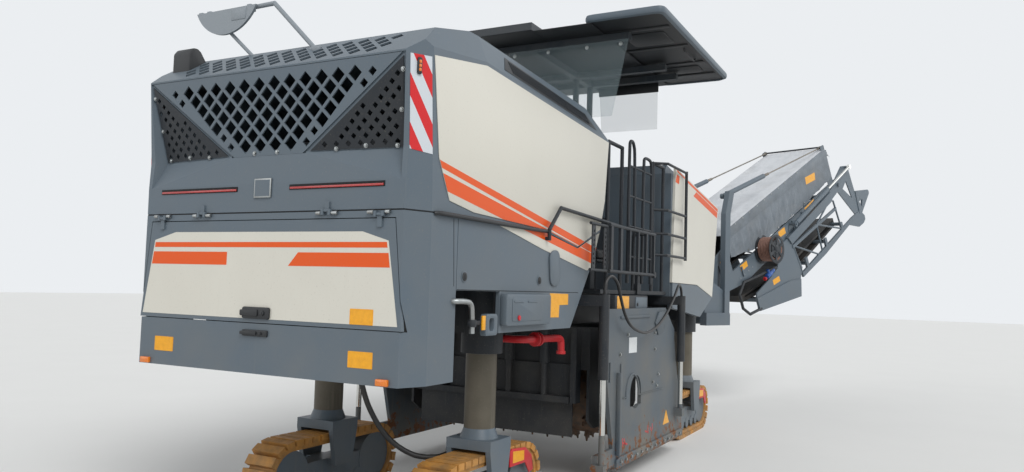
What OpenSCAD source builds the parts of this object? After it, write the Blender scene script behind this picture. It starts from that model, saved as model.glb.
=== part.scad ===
// Cold planer (road milling machine) on four tracks, with a folded and slewed
// loading conveyor and a raised canopy. All sizes in millimetres.
// x points forward, y to the left, z up. The origin is on the ground, straight
// under the axis of the milling drum, on the machine's centre plane.

/* [Body] */
// half of the body's width
half_w = 1250; // [1200:5:1300]
// rear face, measured from the drum axis
rear_x = -4100; // [-4300:10:-3900]
// lowest edge of the rear skirt
skirt_z = 1300; // [1200:10:1400]
// height of the seam under the hood
seam_z = 2400; // [2350:5:2450]
// highest ridge of the hood
ridge_z = 3770; // [3700:5:3850]

/* [Drum] */
// height of the drum axis over the ground
drum_z = 800; // [760:5:860]
// radius at the tooth tips
drum_r = 490; // [450:5:510]
// milling width
drum_w = 2000; // [1900:10:2060]

/* [Tracks] */
// length of one track
track_l = 1730; // [1600:10:1800]
// width of one track
track_w = 300; // [260:5:330]
// height of one track
track_h = 610; // [560:5:640]
// rear leg axis, along the machine
rear_leg_x = -2400; // [-2450:10:-2350]
// rear leg axis, from the centre plane
rear_leg_y = 790; // [760:5:820]
// front leg axis, along the machine
front_leg_x = 3000; // [2950:10:3050]
// front leg axis, from the centre plane
front_leg_y = 950; // [920:5:980]
// radius of a leg's column
column_r = 127; // [115:1:135]

/* [Side plates] */
// lower edge of the side plates, as hung
side_plate_z = 210; // [150:5:260]

/* [Canopy] */
// outer edge of the pushed-out right wing
wing_out = 1900; // [1800:10:1950]
// upper face of the canopy wings
wing_z = 4570; // [4450:10:4650]

/* [Conveyor] */
// slewing axis, from the drum axis
slew_x = 4100; // [4050:10:4200]
// slewing angle, to the right
slew_deg = 20; // [0:1:30]
// pitch pivot ahead of the slewing axis
pivot_s = 700; // [660:10:740]
// height of the pitch pivot
pivot_z = 2050; // [2000:10:2100]
// pitch of the base section
pitch_deg = 28.5; // [24:0.5:32]
// half width of the conveyor's frame
conv_hw = 610; // [560:5:640]

/* [Hidden] */
$fn = 48;

steel = "#59656f";
cream = "#d6d2c6";
dark = "#33373c";
pad = "#cf8a2b";
column_c = "#6b665a";

// a plate drawn in the side view: points are [x, z], and it fills y0 to y1
module side(pts, y0, y1) {
  translate([0, y1, 0]) rotate([90, 0, 0]) linear_extrude(y1 - y0) polygon(pts);
}
// a box between two corners
module box(x0, x1, y0, y1, z0, z1) {
  translate([x0, y0, z0]) cube([x1 - x0, y1 - y0, z1 - z0]);
}
// a round bar from a to b
module bar(a, b, r) {
  d = b - a;
  l = norm(d);
  translate(a) rotate([0, acos(d[2] / l), atan2(d[1], d[0])]) cylinder(h = l, r = r);
}
// a bent tube through the points
module tube(p, r) {
  for (i = [0:len(p) - 2]) bar(p[i], p[i + 1], r);
  if (len(p) > 2) for (i = [1:len(p) - 2]) translate(p[i]) sphere(r = r + 0.6);
}
module both() { children(); mirror([0, 1, 0]) children(); }
function unit(v) = v / norm(v);
// the direction square to a plane that goes through three points
function square_to(p) = unit(cross(p[1] - p[0], p[2] - p[0]));
// lays a drawing on that plane, with the first point at its origin
module on_plane(p) {
  n = square_to(p);
  translate(p[0]) rotate([0, acos(n[2]), atan2(n[1], n[0])]) children();
}
// a plate with its corners at the points, from t0 to t1 along the plane's own direction
module facet(p, t0, t1, corners = undef) {
  n = square_to(p);
  th = acos(n[2]);
  ph = atan2(n[1], n[0]);
  ex = [cos(th) * cos(ph), cos(th) * sin(ph), -sin(th)];
  ey = [-sin(ph), cos(ph), 0];
  on_plane(p) translate([0, 0, t0]) linear_extrude(t1 - t0)
    polygon([for (q = corners ? corners : p) [ex * (q - p[0]), ey * (q - p[0])]]);
}
// everything on the far side of the plane, t along its direction
module beyond(p, t) { on_plane(p) translate([-5000, -5000, t]) cube([10000, 10000, 1500]); }
// the corners drawn in towards their middle
function shrunk(p, k) = [for (q = p) (p[0] + p[1] + p[2]) / 3 * (1 - k) + q * k];

// main frame

sleeve_top = 2120;
rail_in = 380;
rail_out = 540;
rail_low = 1560;
rail_top = 1905;
module sleeve(x, y) {
  translate([x, y, 1400]) cylinder(h = sleeve_top - 1400, r = column_r + 45);
}
module main_frame() {
  color(dark) difference() {
    union() {
      both() {
        box(rear_x + 40, 3850, rail_in, rail_out, rail_low, rail_top);
        sleeve(rear_leg_x, rear_leg_y);
        box(rear_leg_x - 150, rear_leg_x + 150, rail_out, rear_leg_y, rail_low, rail_top);
        sleeve(front_leg_x, front_leg_y);
        box(front_leg_x - 170, front_leg_x + 170, rail_out, front_leg_y, rail_low, 1860);
        // outriggers to the rear shell, the side panels and the tank body
        box(shell_end - 120, shell_end - 10, rail_out, half_w - 25, 1700, 1820);
        box(shell_end + 40, shell_end + 140, rail_out, half_w - 30, 1935, 2035);
        box(shell_end + 40, shell_end + 140, rail_out, rail_out + 100, 1800, 2035);
        box(1450, 1570, rail_out, half_w - 60, 1760, 1880);
        box(3300, 3380, rail_out, half_w - 60, 1760, 1880);
      }
      for (x = [-3560, -3000, -1700, 1450]) box(x, x + 160, -rail_out, rail_out, rail_low, 1800);
      box(3690, 3850, -rail_out, rail_out, 1300, 1700);
      // slewing bracket
      for (z = [1340, 1610]) translate([0, 0, z]) linear_extrude(90) {
        translate([3600, -330]) square([slew_x - 3600, 660]);
        translate([slew_x, 0]) circle(r = 330);
      }
    }
    both() {
      translate([rear_leg_x, rear_leg_y, 1300]) cylinder(h = 1000, r = column_r + 0.3);
      translate([front_leg_x, front_leg_y, 1300]) cylinder(h = 1000, r = column_r + 0.3);
    }
    translate([slew_x, 0, 1300]) cylinder(h = 500, r = 60.3);
  }
}

module engine() {
  color("#44494e") box(-3300, -1500, -430, 430, rail_top, 3050);
}

// rear shell

chamfer_y = 1175;
chamfer_x = rear_x + 200;
shell_end = rear_x + 520;
flap_top = 2345;
flap_low = 1645;
module shell_outline(t) {
  polygon([[rear_x + t, -chamfer_y + t / 2], [chamfer_x, -half_w + t], [shell_end, -half_w + t],
    [shell_end, half_w - t], [chamfer_x, half_w - t], [rear_x + t, chamfer_y - t / 2]]);
}
module flap_face(g) {
  polygon([[-1190 - g, flap_low - g], [1190 + g, flap_low - g], [1112 + g, flap_top + g],
    [-1112 - g, flap_top + g]]);
}
hood_knuckles = [-570, 580];
flap_knuckles = [-1000, 990];
// two lugs with a pin between them, outside the rear face
module hinge_lugs(y, z, z0, z1) {
  for (s = [-1, 1]) {
    box(rear_x - 26, rear_x, y + s * 30 - 10, y + s * 30 + 10, z0, seam_z - 8);
    box(rear_x - 26, rear_x - 6, y + s * 30 - 10, y + s * 30 + 10, z0, z1);
  }
  translate([rear_x - 14, y - 25, z]) rotate([-90, 0, 0]) cylinder(h = 50, r = 6);
}
// the ring on that pin, with its strap
module knuckle(y, z, z0, z1) {
  difference() {
    union() {
      translate([rear_x - 14, y - 18, z]) rotate([-90, 0, 0]) cylinder(h = 36, r = 11);
      box(rear_x - 13, rear_x - 4, y - 18, y + 18, min(z, z0), max(z, z1));
      box(rear_x - 6, rear_x, y - 18, y + 18, z0, z1);
    }
    translate([rear_x - 14, y - 50, z]) rotate([-90, 0, 0]) cylinder(h = 100, r = 6.3);
  }
}
module rear_shell() {
  color(steel) for (y = hood_knuckles) hinge_lugs(y, 2400, 2372, 2410);
  color(steel) for (y = flap_knuckles) hinge_lugs(y, 2370, 2358, 2392);
  color(steel) difference() {
    translate([0, 0, skirt_z]) linear_extrude(seam_z - 5 - skirt_z) shell_outline(0);
    translate([0, 0, skirt_z + 25]) linear_extrude(seam_z) shell_outline(25);
    box(shell_end - 60, shell_end + 10, -half_w + 25, half_w - 25, skirt_z + 25, seam_z);
    translate([rear_x - 50, 0, 0]) rotate([90, 0, 90]) linear_extrude(150) flap_face(6);
  }
}

// side shells: panel under the seam, cream wedge, plate beside the tool box

side_pts = [[shell_end + 6, seam_z - 5], [shell_end + 6, 1905], [rear_x + 1130, 1905],
  [rear_x + 1130, 1600], [rear_x + 2440, 1600], [rear_x + 2870, 2130], [rear_x + 2950, 2330],
  [rear_x + 2550, 2300], [rear_x + 1900, seam_z - 5]];
module side_shell() {
  side(side_pts, -half_w, -half_w + 30);
  box(shell_end + 6, rear_x + 2500, -half_w + 30, -440, rail_top, rail_top + 25);
}
module side_shells() { color(steel) both() side_shell_cut(); }
module side_shell_cut() {
  difference() {
    side_shell();
    translate([rear_leg_x, -rear_leg_y, 1800]) cylinder(h = 400, r = column_r + 50);
    box(shell_end + 34, shell_end + 146, -half_w + 30, -rail_out, 1900, 2040);
    for (x = [620, 1790]) translate([rear_x + x, -half_w - 1, 2000]) rotate([-90, 0, 0])
      cylinder(h = 12, r = 36);
  }
}
module tool_boxes() {
  color("#4a545d") both() translate([0, 0, 0])
    box(rear_x + 1140, rear_x + 1910, -half_w - 60, -half_w, 1650, 1890);
}

// drum housing

wall_in = drum_w / 2 + 25;
scraper_rods = [-600, -200, 200, 600];
module drum_housing() {
  color(dark) {
    difference() {
      union() {
        both() side([[-700, 650], [-560, 560], [560, 560], [700, 700], [700, rail_low],
          [-700, rail_low]], wall_in, wall_in + 30);
        side([[-700, 1140], [-700, rail_low], [700, rail_low], [700, 1450], [660, 1450],
          [500, 1500], [-610, 1500], [-675, 1400], [-675, 1140]], -wall_in - 1, wall_in + 1);
        box(660, 700, -wall_in - 1, -420, 700, 1470);
        box(660, 700, 420, wall_in + 1, 700, 1470);
        box(660, 700, -430, 430, 1250, 1470);
        both() box(-820, -700, 900, 960, 820, rail_low);
        for (y = scraper_rods) {
          translate([-790, y, 1200]) cylinder(h = rail_low - 1200, r = 50);
          box(-790, -690, y - 40, y + 40, 1440, rail_low);
        }
      }
      both() translate([0, wall_in - 50, drum_z]) rotate([-90, 0, 0]) cylinder(h = 120, r = 80.3);
      for (y = scraper_rods) translate([-790, y, 1100]) cylinder(h = 450, r = 30.3);
    }
  }
}
module scraper() {
  color(dark) {
    box(-738, -712, -890, 890, 480, 1190);
    box(-830, -738, -890, 890, 820, 880);
    for (y = scraper_rods) translate([-790, y, 870]) cylinder(h = 515, r = 30);
  }
}
module red_pipe() {
  y = -wall_in - 135;
  color("#c8202c") tube([[-660, -wall_in - 30, 1400], [-660, y, 1400], [-960, y, 1400],
    [-960, y, 1230]], 30);
}

// milling drum

tooth_rows = 20;
module milling_drum() {
  color("#4b4642") {
    translate([0, -drum_w / 2 + 10, drum_z]) rotate([-90, 0, 0])
      cylinder(h = drum_w - 20, r = drum_r - 110);
    translate([0, -wall_in - 25, drum_z]) rotate([-90, 0, 0])
      cylinder(h = 2 * wall_in + 50, r = 80);
    both() for (i = [0:tooth_rows - 1]) for (k = [0:2]) {
      y = 30 + i * (drum_w / 2 - 60) / (tooth_rows - 1);
      a = i * 37 + k * 120;
      translate([0, y, drum_z]) rotate([0, a, 0]) translate([drum_r - 122, 0, 0]) {
        translate([0, -16, -40]) cube([72, 32, 80]);
        translate([60, 0, 0]) rotate([0, 70, 0]) cylinder(h = 56, r1 = 20, r2 = 8, $fn = 24);
      }
    }
  }
}

// side plates

plate_y = wall_in + 265;
module side_plate_shape() {
  difference() {
    polygon([[-690, side_plate_z], [1630, side_plate_z], [1660, side_plate_z + 60],
      [1265, 1380], [1265, 1500], [900, 1760], [-1060, 1760], [-1060, 1250], [-940, 1090],
      [-750, side_plate_z + 210], [-1200, side_plate_z + 210], [-1200, side_plate_z + 40],
      [-700, side_plate_z + 40]]);
    translate([-100, 900]) circle(r = 170);
    translate([-270, 760]) square([340, 140]);
    translate([-900, 1060]) square([45, 190]);
  }
}
module side_plate() {
  translate([0, -plate_y, 0]) rotate([90, 0, 0]) linear_extrude(40) side_plate_shape();
  box(-640, 1620, -plate_y - 52, -plate_y - 40, side_plate_z, side_plate_z + 80);
}
module plate_rod(x, zb, z1) {
  translate([x, -plate_y - 100, zb]) cylinder(h = z1 - zb, r = 28);
  box(x - 50, x + 50, -plate_y - 140, -plate_y - 10, zb, zb + 90);
}
module side_plate_r() {
  side_plate();
  plate_rod(-1200, side_plate_z + 50, 1500);
  plate_rod(1340, 480, 1500);
}
module side_plate_right() { color(steel) side_plate_r(); }
module side_plate_left() { color(steel) mirror([0, 1, 0]) side_plate_r(); }
module plate_barrels() {
  color(steel) both() for (x = [-1200, 1340]) difference() {
    union() {
      translate([x, -plate_y - 100, 1120]) cylinder(h = 780, r = 48);
      box(x - 60, x + 60, -plate_y - 100, -rail_out, 1790, 1890);
    }
    translate([x, -plate_y - 100, 1100]) cylinder(h = 790, r = 28.3);
  }
}

// legs and tracks

wheel_x = (track_l - track_h) / 2;
module leg(x, y) {
  translate([x, y, 0]) {
    translate([0, 0, 700]) cylinder(h = 1390, r = column_r);
    translate([0, 0, 690]) cylinder(h = 110, r1 = 170, r2 = column_r);
    difference() {
      union() {
        box(-170, 170, -205, 205, 640, 720);
        for (s = [-1, 1]) side([[-170, 640], [-110, 330], [110, 330], [170, 640]],
          s > 0 ? 160 : -205, s > 0 ? 205 : -160);
      }
    }
    box(-wheel_x - 80, wheel_x + 80, -100, 100, 180, 380);
    for (s = [-1, 1]) box(-90, 90, s > 0 ? 100 : -160, s > 0 ? 160 : -100, 330, 380);
    for (px = [-wheel_x, wheel_x]) translate([px, -105, track_h / 2]) rotate([-90, 0, 0])
      cylinder(h = 210, r = track_h / 2 - 90.3);
    for (px = [-wheel_x + 230, -110, 110, wheel_x - 230]) translate([px, -105, 160]) rotate([-90, 0, 0])
      cylinder(h = 210, r = 69.7);
  }
}
module track_loop(r) {
  for (px = [-track_l / 2 + track_h / 2, track_l / 2 - track_h / 2])
    translate([px, track_h / 2]) circle(r = r);
  translate([-track_l / 2 + track_h / 2, track_h / 2 - r]) square([track_l - track_h, 2 * r]);
}
shoes = 11;
module track(x, y) {
  translate([x, y, 0]) {
    difference() {
      translate([0, track_w / 2 - 20, 0]) rotate([90, 0, 0]) linear_extrude(track_w - 40)
        track_loop(track_h / 2 - 50);
      translate([0, track_w, 0]) rotate([90, 0, 0]) linear_extrude(2 * track_w)
        track_loop(track_h / 2 - 90);
    }
    for (i = [0:shoes - 1]) {
      u = (i + 0.5) * (track_l - track_h) / shoes * 1;
      if (i < shoes) for (z = [0, track_h - 52])
        translate([-track_l / 2 + track_h / 2 + u - 42, -track_w / 2, z]) cube([84, track_w, 52]);
    }
    for (s = [0, 1], i = [0:7]) translate([(s ? 1 : -1) * (track_l - track_h) / 2, 0, track_h / 2])
      rotate([0, (s ? 0 : 180) + 11.25 + i * 22.5, 0])
      translate([-40, -track_w / 2, track_h / 2 - 56]) cube([80, track_w, 52]);
  }
}
module leg_rear_right() { color(column_c) leg(rear_leg_x, -rear_leg_y); }
module leg_rear_left() { color(column_c) leg(rear_leg_x, rear_leg_y); }
module leg_front_right() { color(column_c) leg(front_leg_x, -front_leg_y); }
module leg_front_left() { color(column_c) leg(front_leg_x, front_leg_y); }
module track_rear_right() { color(pad) track(rear_leg_x, -rear_leg_y); }
module track_rear_left() { color(pad) track(rear_leg_x, rear_leg_y); }
module track_front_right() { color(pad) track(front_leg_x, -front_leg_y); }
module track_front_left() { color(pad) track(front_leg_x, front_leg_y); }

// platform, tank, rails

post_x = [460, 890];
post_y = 330;
ladder_x = 330;
ladder_z = 2120;
ladder_y = 1362;
plat_x0 = rear_x + 3320;
plat_x1 = 1380;
module platform() {
  color(dark) difference() {
    union() {
      box(plat_x0, plat_x1, -1180, 1180, rail_top, rail_top + 40);
      box(1050, 1330, -400, 400, rail_top + 40, 2850);
      for (x = post_x, s = [-1, 1]) translate([x, s * post_y, rail_top + 10])
        cylinder(h = 2900 - rail_top, r = 48);
      // pins for the ladders
      both() translate([ladder_x, 1150, ladder_z]) rotate([-90, 0, 0])
        cylinder(h = 230, r = 14);
      both() box(ladder_x - 60, ladder_x + 60, 1150, 1200, rail_top, ladder_z + 30);
    }
    for (x = post_x, s = [-1, 1]) translate([x, s * post_y, rail_top + 60])
      cylinder(h = 2000, r = 36);
  }
}
module seats() {
  color("#26282b") both() {
    box(plat_x0 + 360, plat_x0 + 800, 560, 1020, 2250, 2370);
    box(plat_x0 + 260, plat_x0 + 360, 560, 1020, 2250, 2900);
    box(plat_x0 + 520, plat_x0 + 640, 720, 860, rail_top + 40, 2250);
  }
}
module tank_body() {
  color(steel) difference() {
    union() {
      side([[1410, 1880], [1410, 3400], [3640, 3120], [3400, 1880]], -half_w + 30, half_w - 30);
      side([[1410, 3400], [1500, 3520], [3600, 3230], [3640, 3120]], -half_w + 120,
        half_w - 120);
      both() side([[1430, 2052], [2570, 2042], [3400, 1882], [2750, 1620], [1430, 1750]],
        half_w - 60, half_w);
    }
    side([[1450, 1600], [1450, 3330], [1500, 3330], [3480, 3080], [3340, 1600]], -half_w + 60,
      half_w - 60);
    both() translate([front_leg_x, front_leg_y, 1600]) cylinder(h = 560, r = column_r + 60);
    box(3200, 3800, -rail_out, rail_out, 1800, 2950);
    box(1400, 1460, -rail_out, rail_out, 1800, rail_top);
  }
}
module tank_panels() {
  color(cream) both() side([[1410, 2060], [1500, 3480], [3700, 3200], [3410, 1890], [2570, 2050]],
    half_w - 30, half_w);
}
module rail_right() {
  color(dark) {
    tube([[plat_x0 + 220, -1150, rail_top + 40], [plat_x0 + 220, -1150, 3450],
      [plat_x0 + 620, -1150, 3450], [plat_x0 + 620, -1150, rail_top + 40]], 20);
    // handrail with a kink, from the side panel to the platform
    tube([[rear_x + 1880, -1290, 2330], [rear_x + 1880, -1290, 2420], [rear_x + 2100, -1290, 2620],
      [240, -1290, 2560], [240, -1150, 2550]], 16);
    bar([240, -1150, 2550], [240, -1150, rail_top + 40], 15);
    bar([rear_x + 1880, -1290, 2345], [rear_x + 1880, -half_w, 2345], 14);
    tube([[900, -1150, rail_top + 40], [900, -1150, 3450], [1300, -1150, 3450],
      [1300, -1150, rail_top + 40]], 20);
    for (z = [2370, 2620, 2900, 3450]) tube([[900, -1150, z], [1000, -1300, z],
      [1800, -1300, z]], 16);
    bar([1800, -1300, 2340], [1800, -1300, 3470], 19);
  }
}
module platform_rails() { both() rail_right(); }
module ladder_right() {
  color(dark) difference() {
    union() {
      for (z = [ladder_z, ladder_z + 440]) bar([ladder_x - 1370, -ladder_y, z],
        [ladder_x + 20, -ladder_y, z], 17);
      for (k = [0:5]) translate([ladder_x - 1350 + k * 262, -ladder_y - 14, ladder_z])
        cube([k < 2 ? 60 : 34, 28, 440]);
      translate([ladder_x, -ladder_y + 19, ladder_z]) rotate([90, 0, 0]) cylinder(h = 38, r = 32);
    }
    translate([ladder_x, -ladder_y + 50, ladder_z]) rotate([90, 0, 0]) cylinder(h = 100, r = 14.3);
  }
}
module ladder_left() { mirror([0, 1, 0]) ladder_right(); }

module primary_conveyor() {
  color(dark) {
    side([[712, 900], [1400, 1230], [3300, 2350], [4050, 2620], [4050, 2400], [3400, 2170],
      [1500, 1050], [712, 700]], -330, 330);
    box(700, 712, -480, 480, 660, 1290);
  }
}
module tie_down_eyes() {
  color("#c8202c") both() {
    difference() {
      box(-3560, -3420, 440, 480, 1390, rail_low);
      translate([-3490, 400, 1450]) rotate([-90, 0, 0]) cylinder(h = 200, r = 30);
    }
    difference() {
      box(3850, 3990, 440, 480, 1320, 1480);
      translate([3930, 400, 1400]) rotate([-90, 0, 0]) cylinder(h = 200, r = 30);
    }
  }
}
module marker_lamps() {
  color("#e07b12") both() translate([rear_x - 25, 1060, 1310]) rotate([0, 90, 0])
    cylinder(h = 25, r = 28);
}

// hood

hood_side = [[rear_x, seam_z + 5], [rear_x, 2600], [rear_x + 15, 2800], [rear_x - 40, 3400],
  [rear_x + 300, 3640], [rear_x + 800, ridge_z], [rear_x + 3000, ridge_z - 90],
  [rear_x + 3290, 3390], [rear_x + 3100, 2490], [rear_x + 2550, 2310], [rear_x + 1900, seam_z + 5]];
hood_in = [[rear_x + 25, seam_z - 40], [rear_x + 25, 2600], [rear_x + 40, 2800],
  [rear_x - 13, 3385], [rear_x + 320, 3613], [rear_x + 800, ridge_z - 26],
  [rear_x + 2990, ridge_z - 116], [rear_x + 3262, 3385], [rear_x + 3060, 2400],
  [rear_x + 2560, 2270], [rear_x + 1900, 2360]];
corner_cut = [[rear_x, -1175, 2405], [rear_x + 200, -half_w, 2405], [rear_x + 160, -half_w, 3400]];
bevel_rear = [[rear_x + 140, -half_w, 3455], [rear_x + 840, -half_w, 3540],
  [rear_x + 840, -1120, ridge_z]];
bevel_side = [[rear_x + 840, -half_w, 3540], [rear_x + 3290, -half_w, 3400],
  [rear_x + 1250, -1120, ridge_z - 10]];
module hood_block(outline, t) {
  difference() {
    side(outline, -half_w + t, half_w - t);
    both() {
      beyond(corner_cut, -t);
      beyond(bevel_rear, -t);
      beyond(bevel_side, -t);
    }
  }
}
// corners of the rear face: foot of the V, its outer top, and the two of the recess
v_foot = [rear_x + 15, 345, 2795];
v_top = [rear_x - 38, 1172, 3388];
low_corner = [rear_x, 1145, 2592];
deep_corner = [rear_x + 95, 1110, 2795];
grille = [v_foot, v_top, deep_corner];
v_left = [rear_x + 15, -345, 2795];
v_far = [rear_x - 38, -1172, 3388];
// a triangle with a strip of width l beyond its side a-b
module strip_facet(a, b, c, l, t) {
  u = unit(b - a);
  e = -l * unit((c - a) - ((c - a) * u) * u);
  facet([c, a, b], 0, t, [c, a, a + e, b + e, b]);
}
slope_a = atan2(240, 340);
module on_slope() { translate([rear_x - 40, 0, 3400]) rotate([0, -slope_a, 0]) children(); }
module hood_shell() {
  color(steel) difference() {
    hood_block(hood_side, 0);
    hood_block(hood_in, 25);
    // openings behind the grilles
    translate([rear_x - 100, 0, 0]) rotate([90, 0, 90]) linear_extrude(300)
      polygon([[-345, 2795], [345, 2795], [1145, 2592], [1172, 3388], [-1172, 3388], [-1145, 2592]]);
    on_slope() translate([25, -1040, -60]) cube([370, 2080, 120]);
  }
  color(steel) intersection() {
    hood_block(hood_side, 0);
    union() {
      both() {
        strip_facet(deep_corner, v_foot, low_corner, 26, 12);
        strip_facet(v_top, deep_corner, low_corner, 26, 12);
        difference() {
          facet(shrunk(grille, 0.995), -20, -8.1);
          facet(shrunk(grille, 0.84), -30, 5);
        }
      }
      difference() {
        back_ring(340, 1180, 2789, 3396);
        back_ring(322, 1090, 2832, 3350, 40);
      }
    }
  }
  color(steel) for (y = hood_knuckles) knuckle(y, 2400, 2420, 2460);
}
// a plate parallel to the V, 12.1 mm behind its face
module back_ring(y0, y1, z0, z1, more = 0) {
  on_grille() translate([0, 0, 12.1 - more / 2]) linear_extrude(8 + more)
    polygon([[-y0, z0], [y0, z0], [y1, z1], [-y1, z1]]);
}
module hood_panels() {
  color(cream) both() side([[rear_x + 240, 2880], [rear_x + 165, 3405], [rear_x + 840, 3515],
    [rear_x + 3270, 3385], [rear_x + 3080, 2500], [rear_x + 2560, 2320], [rear_x + 730, 2580],
    [rear_x + 390, 2630]], half_w, half_w + 6);
}
module on_grille() {
  translate([rear_x + 15, 0, 2795]) rotate([0, -5.11, 0]) translate([0, 0, -2795])
    rotate([90, 0, 90]) children();
}
// how far a point of the V is from its slanted side
function v_room(y, z) = (345 + 1.3946 * (z - 2795) - abs(y)) * 0.583;
module coarse_lattice() {
  color(steel) {
    on_grille() linear_extrude(12) difference() {
      polygon([[-316, 2796], [316, 2796], [1144, 3387], [-1144, 3387]]);
      for (j = [1:7], i = [-8:8]) {
        y = i * 140 + (j % 2) * 70;
        z = 2800 + j * 70;
        d = v_room(y, z);
        if (d > 50) translate([y, z]) rotate(45) square(d > 78 ? 78 : 48, center = true);
      }
    }
    on_slope() translate([0, 0, -12]) linear_extrude(12) difference() {
      translate([25.2, -1039.8]) square([369.6, 2079.6]);
      for (j = [0:3], i = [-7:7]) if (abs(i * 140 + (j % 2) * 70) < 960)
        translate([96 + j * 74, i * 140 + (j % 2) * 70]) rotate(45) square(74, center = true);
    }
  }
}
module fine_grilles() {
  color("#3d4349") both() difference() {
    facet(shrunk(grille, 0.93), -8, 0);
    translate([rear_x - 100, 0, 0]) rotate([90, 0, 90]) linear_extrude(400)
      for (j = [0:10], i = [0:7]) {
        y = 500 + i * 92 + (j % 2) * 46;
        z = 2845 + j * 46;
        if (v_room(y, z) < -42 && y < 1066 + (z - 2795) * 0.1) translate([y, z]) rotate(45)
          square(30, center = true);
      }
  }
}
module both2() { children(); mirror([1, 0]) children(); }
module exhaust() {
  color("#1e1f21") difference() {
    side([[rear_x + 330, 3480], [rear_x + 345, 3800], [rear_x + 380, 3860], [rear_x + 430, 3850],
      [rear_x + 580, 3720], [rear_x + 580, 3480]], half_w - 270, half_w - 70);
    hood_block(hood_side, 0);
  }
}
module mirror_frame() {
  color("#7d848a") difference() {
    union() {
      tube([[rear_x + 310, 450, 3590], [rear_x + 237, 690, 3830], [rear_x + 237, 690, 3935]], 14);
      tube([[rear_x + 240, 1000, 3972], [rear_x + 240, 230, 3980], [rear_x + 265, -190, 3570]], 17);
    }
    hood_block(hood_side, 0);
  }
}
module mirror_plate() {
  color("#8b9298") intersection() {
    translate([rear_x + 221, 690, 4135]) rotate([0, -90, 0]) cylinder(h = 20, r = 345);
    box(rear_x + 198, rear_x + 228, 340, 1040, 3700, 3984);
  }
}

// rear flap

module rear_flap() {
  color(cream) translate([rear_x, 0, 0]) rotate([90, 0, 90]) linear_extrude(30) flap_face(0);
  color(cream) for (y = flap_knuckles) knuckle(y, 2370, 2290, 2338);
}
module flap_handle() {
  color(dark) box(rear_x - 30, rear_x, -110, 110, 1690, 1750);
}

// canopy

module roof_lift() {
  color("#4d545b") {
    for (y = [-post_y - 40, post_y - 40]) box(plat_x0, 1100, y, y + 80, wing_z - 150, wing_z - 80);
    for (x = [plat_x0, post_x[0] - 40, post_x[1] - 40]) box(x, x + 80, -1420, 1180, wing_z - 150, wing_z - 80);
    for (x = post_x, s = [-1, 1]) bar([x, s * post_y, 2750], [x, s * post_y, wing_z - 90], 35.7);
    // the fixed main slab and the ribs that carry it
    difference() {
      side([[-1190, wing_z - 75], [-1190, wing_z], [1330, wing_z], [1430, wing_z - 75]], -550, 1250);
      for (x = wing_rods) translate([x, -560, wing_z - 37]) rotate([-90, 0, 0]) cylinder(h = 990, r = 16.3);
    }
    for (x = [-700, 1000]) box(x, x + 60, -550, 500, wing_z - 82, wing_z - 70);
  }
}
wing_rods = [-820, 930];
module roof_rods() {
  color("#c9ccd0") for (x = wing_rods) translate([x, -1100, wing_z - 37]) rotate([-90, 0, 0])
    cylinder(h = 850, r = 16);
}
module roof_right() {
  color("#4d545b") side([[-1190, wing_z - 75], [-1190, wing_z], [1330, wing_z],
    [1430, wing_z - 75]], -wing_out, -1100);
}
module rear_windows() {
  color("#8fa8b0", 0.4) translate([plat_x0 - 8, 0, 0]) rotate([90, 0, 90]) linear_extrude(8) {
    polygon([[-1420, wing_z - 150], [-100, wing_z - 150], [-100, 3660], [-1260, 3660]]);
    polygon([[-80, wing_z - 150], [1180, wing_z - 150], [1100, 3660], [-80, 3660]]);
  }
}

// conveyor: frames

module at_slew() { translate([slew_x, 0, 0]) rotate([0, 0, -slew_deg]) children(); }
module at_pitch() {
  at_slew() translate([pivot_s, 0, pivot_z]) rotate([0, -pitch_deg, 0]) children();
}
mast_s = 1180;
mast_y = 700;
mast_top = 3600;
module slew_frame() {
  color(steel) at_slew() {
    translate([0, 0, 1345]) cylinder(h = 350, r = 60);
    translate([0, 0, 1435]) cylinder(h = 170, r = 200);
    difference() {
      union() {
        box(60, mast_s + 80, -160, 160, 1440, 1600);
        box(mast_s - 90, mast_s + 90, -mast_y - 60, mast_y + 60, 1440, 1620);
        both() box(pivot_s - 90, mast_s + 80, mast_y - 60, mast_y + 60, 1440, 1640);
        both() side([[pivot_s - 90, 1500], [mast_s - 60, 1500], [mast_s - 60, 2000],
          [pivot_s + 80, 2150], [pivot_s - 80, 2150]], mast_y - 30, mast_y + 20);
      }
      both() translate([pivot_s, mast_y - 60, pivot_z]) rotate([-90, 0, 0]) cylinder(h = 200, r = 40.3);
    }
    both() {
      box(mast_s - 70, mast_s + 70, mast_y - 30, mast_y + 60, 1600, 3240);
      side([[mast_s - 70, 3240], [mast_s + 70, 3240], [mast_s + 170, mast_top],
        [mast_s + 40, mast_top + 20]], mast_y - 30, mast_y + 60);
      translate([strut_s, strut_y - 40, strut_z]) rotate([-90, 0, 0])
        cylinder(h = mast_y - strut_y + 20, r = 18);
    }
  }
}
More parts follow.
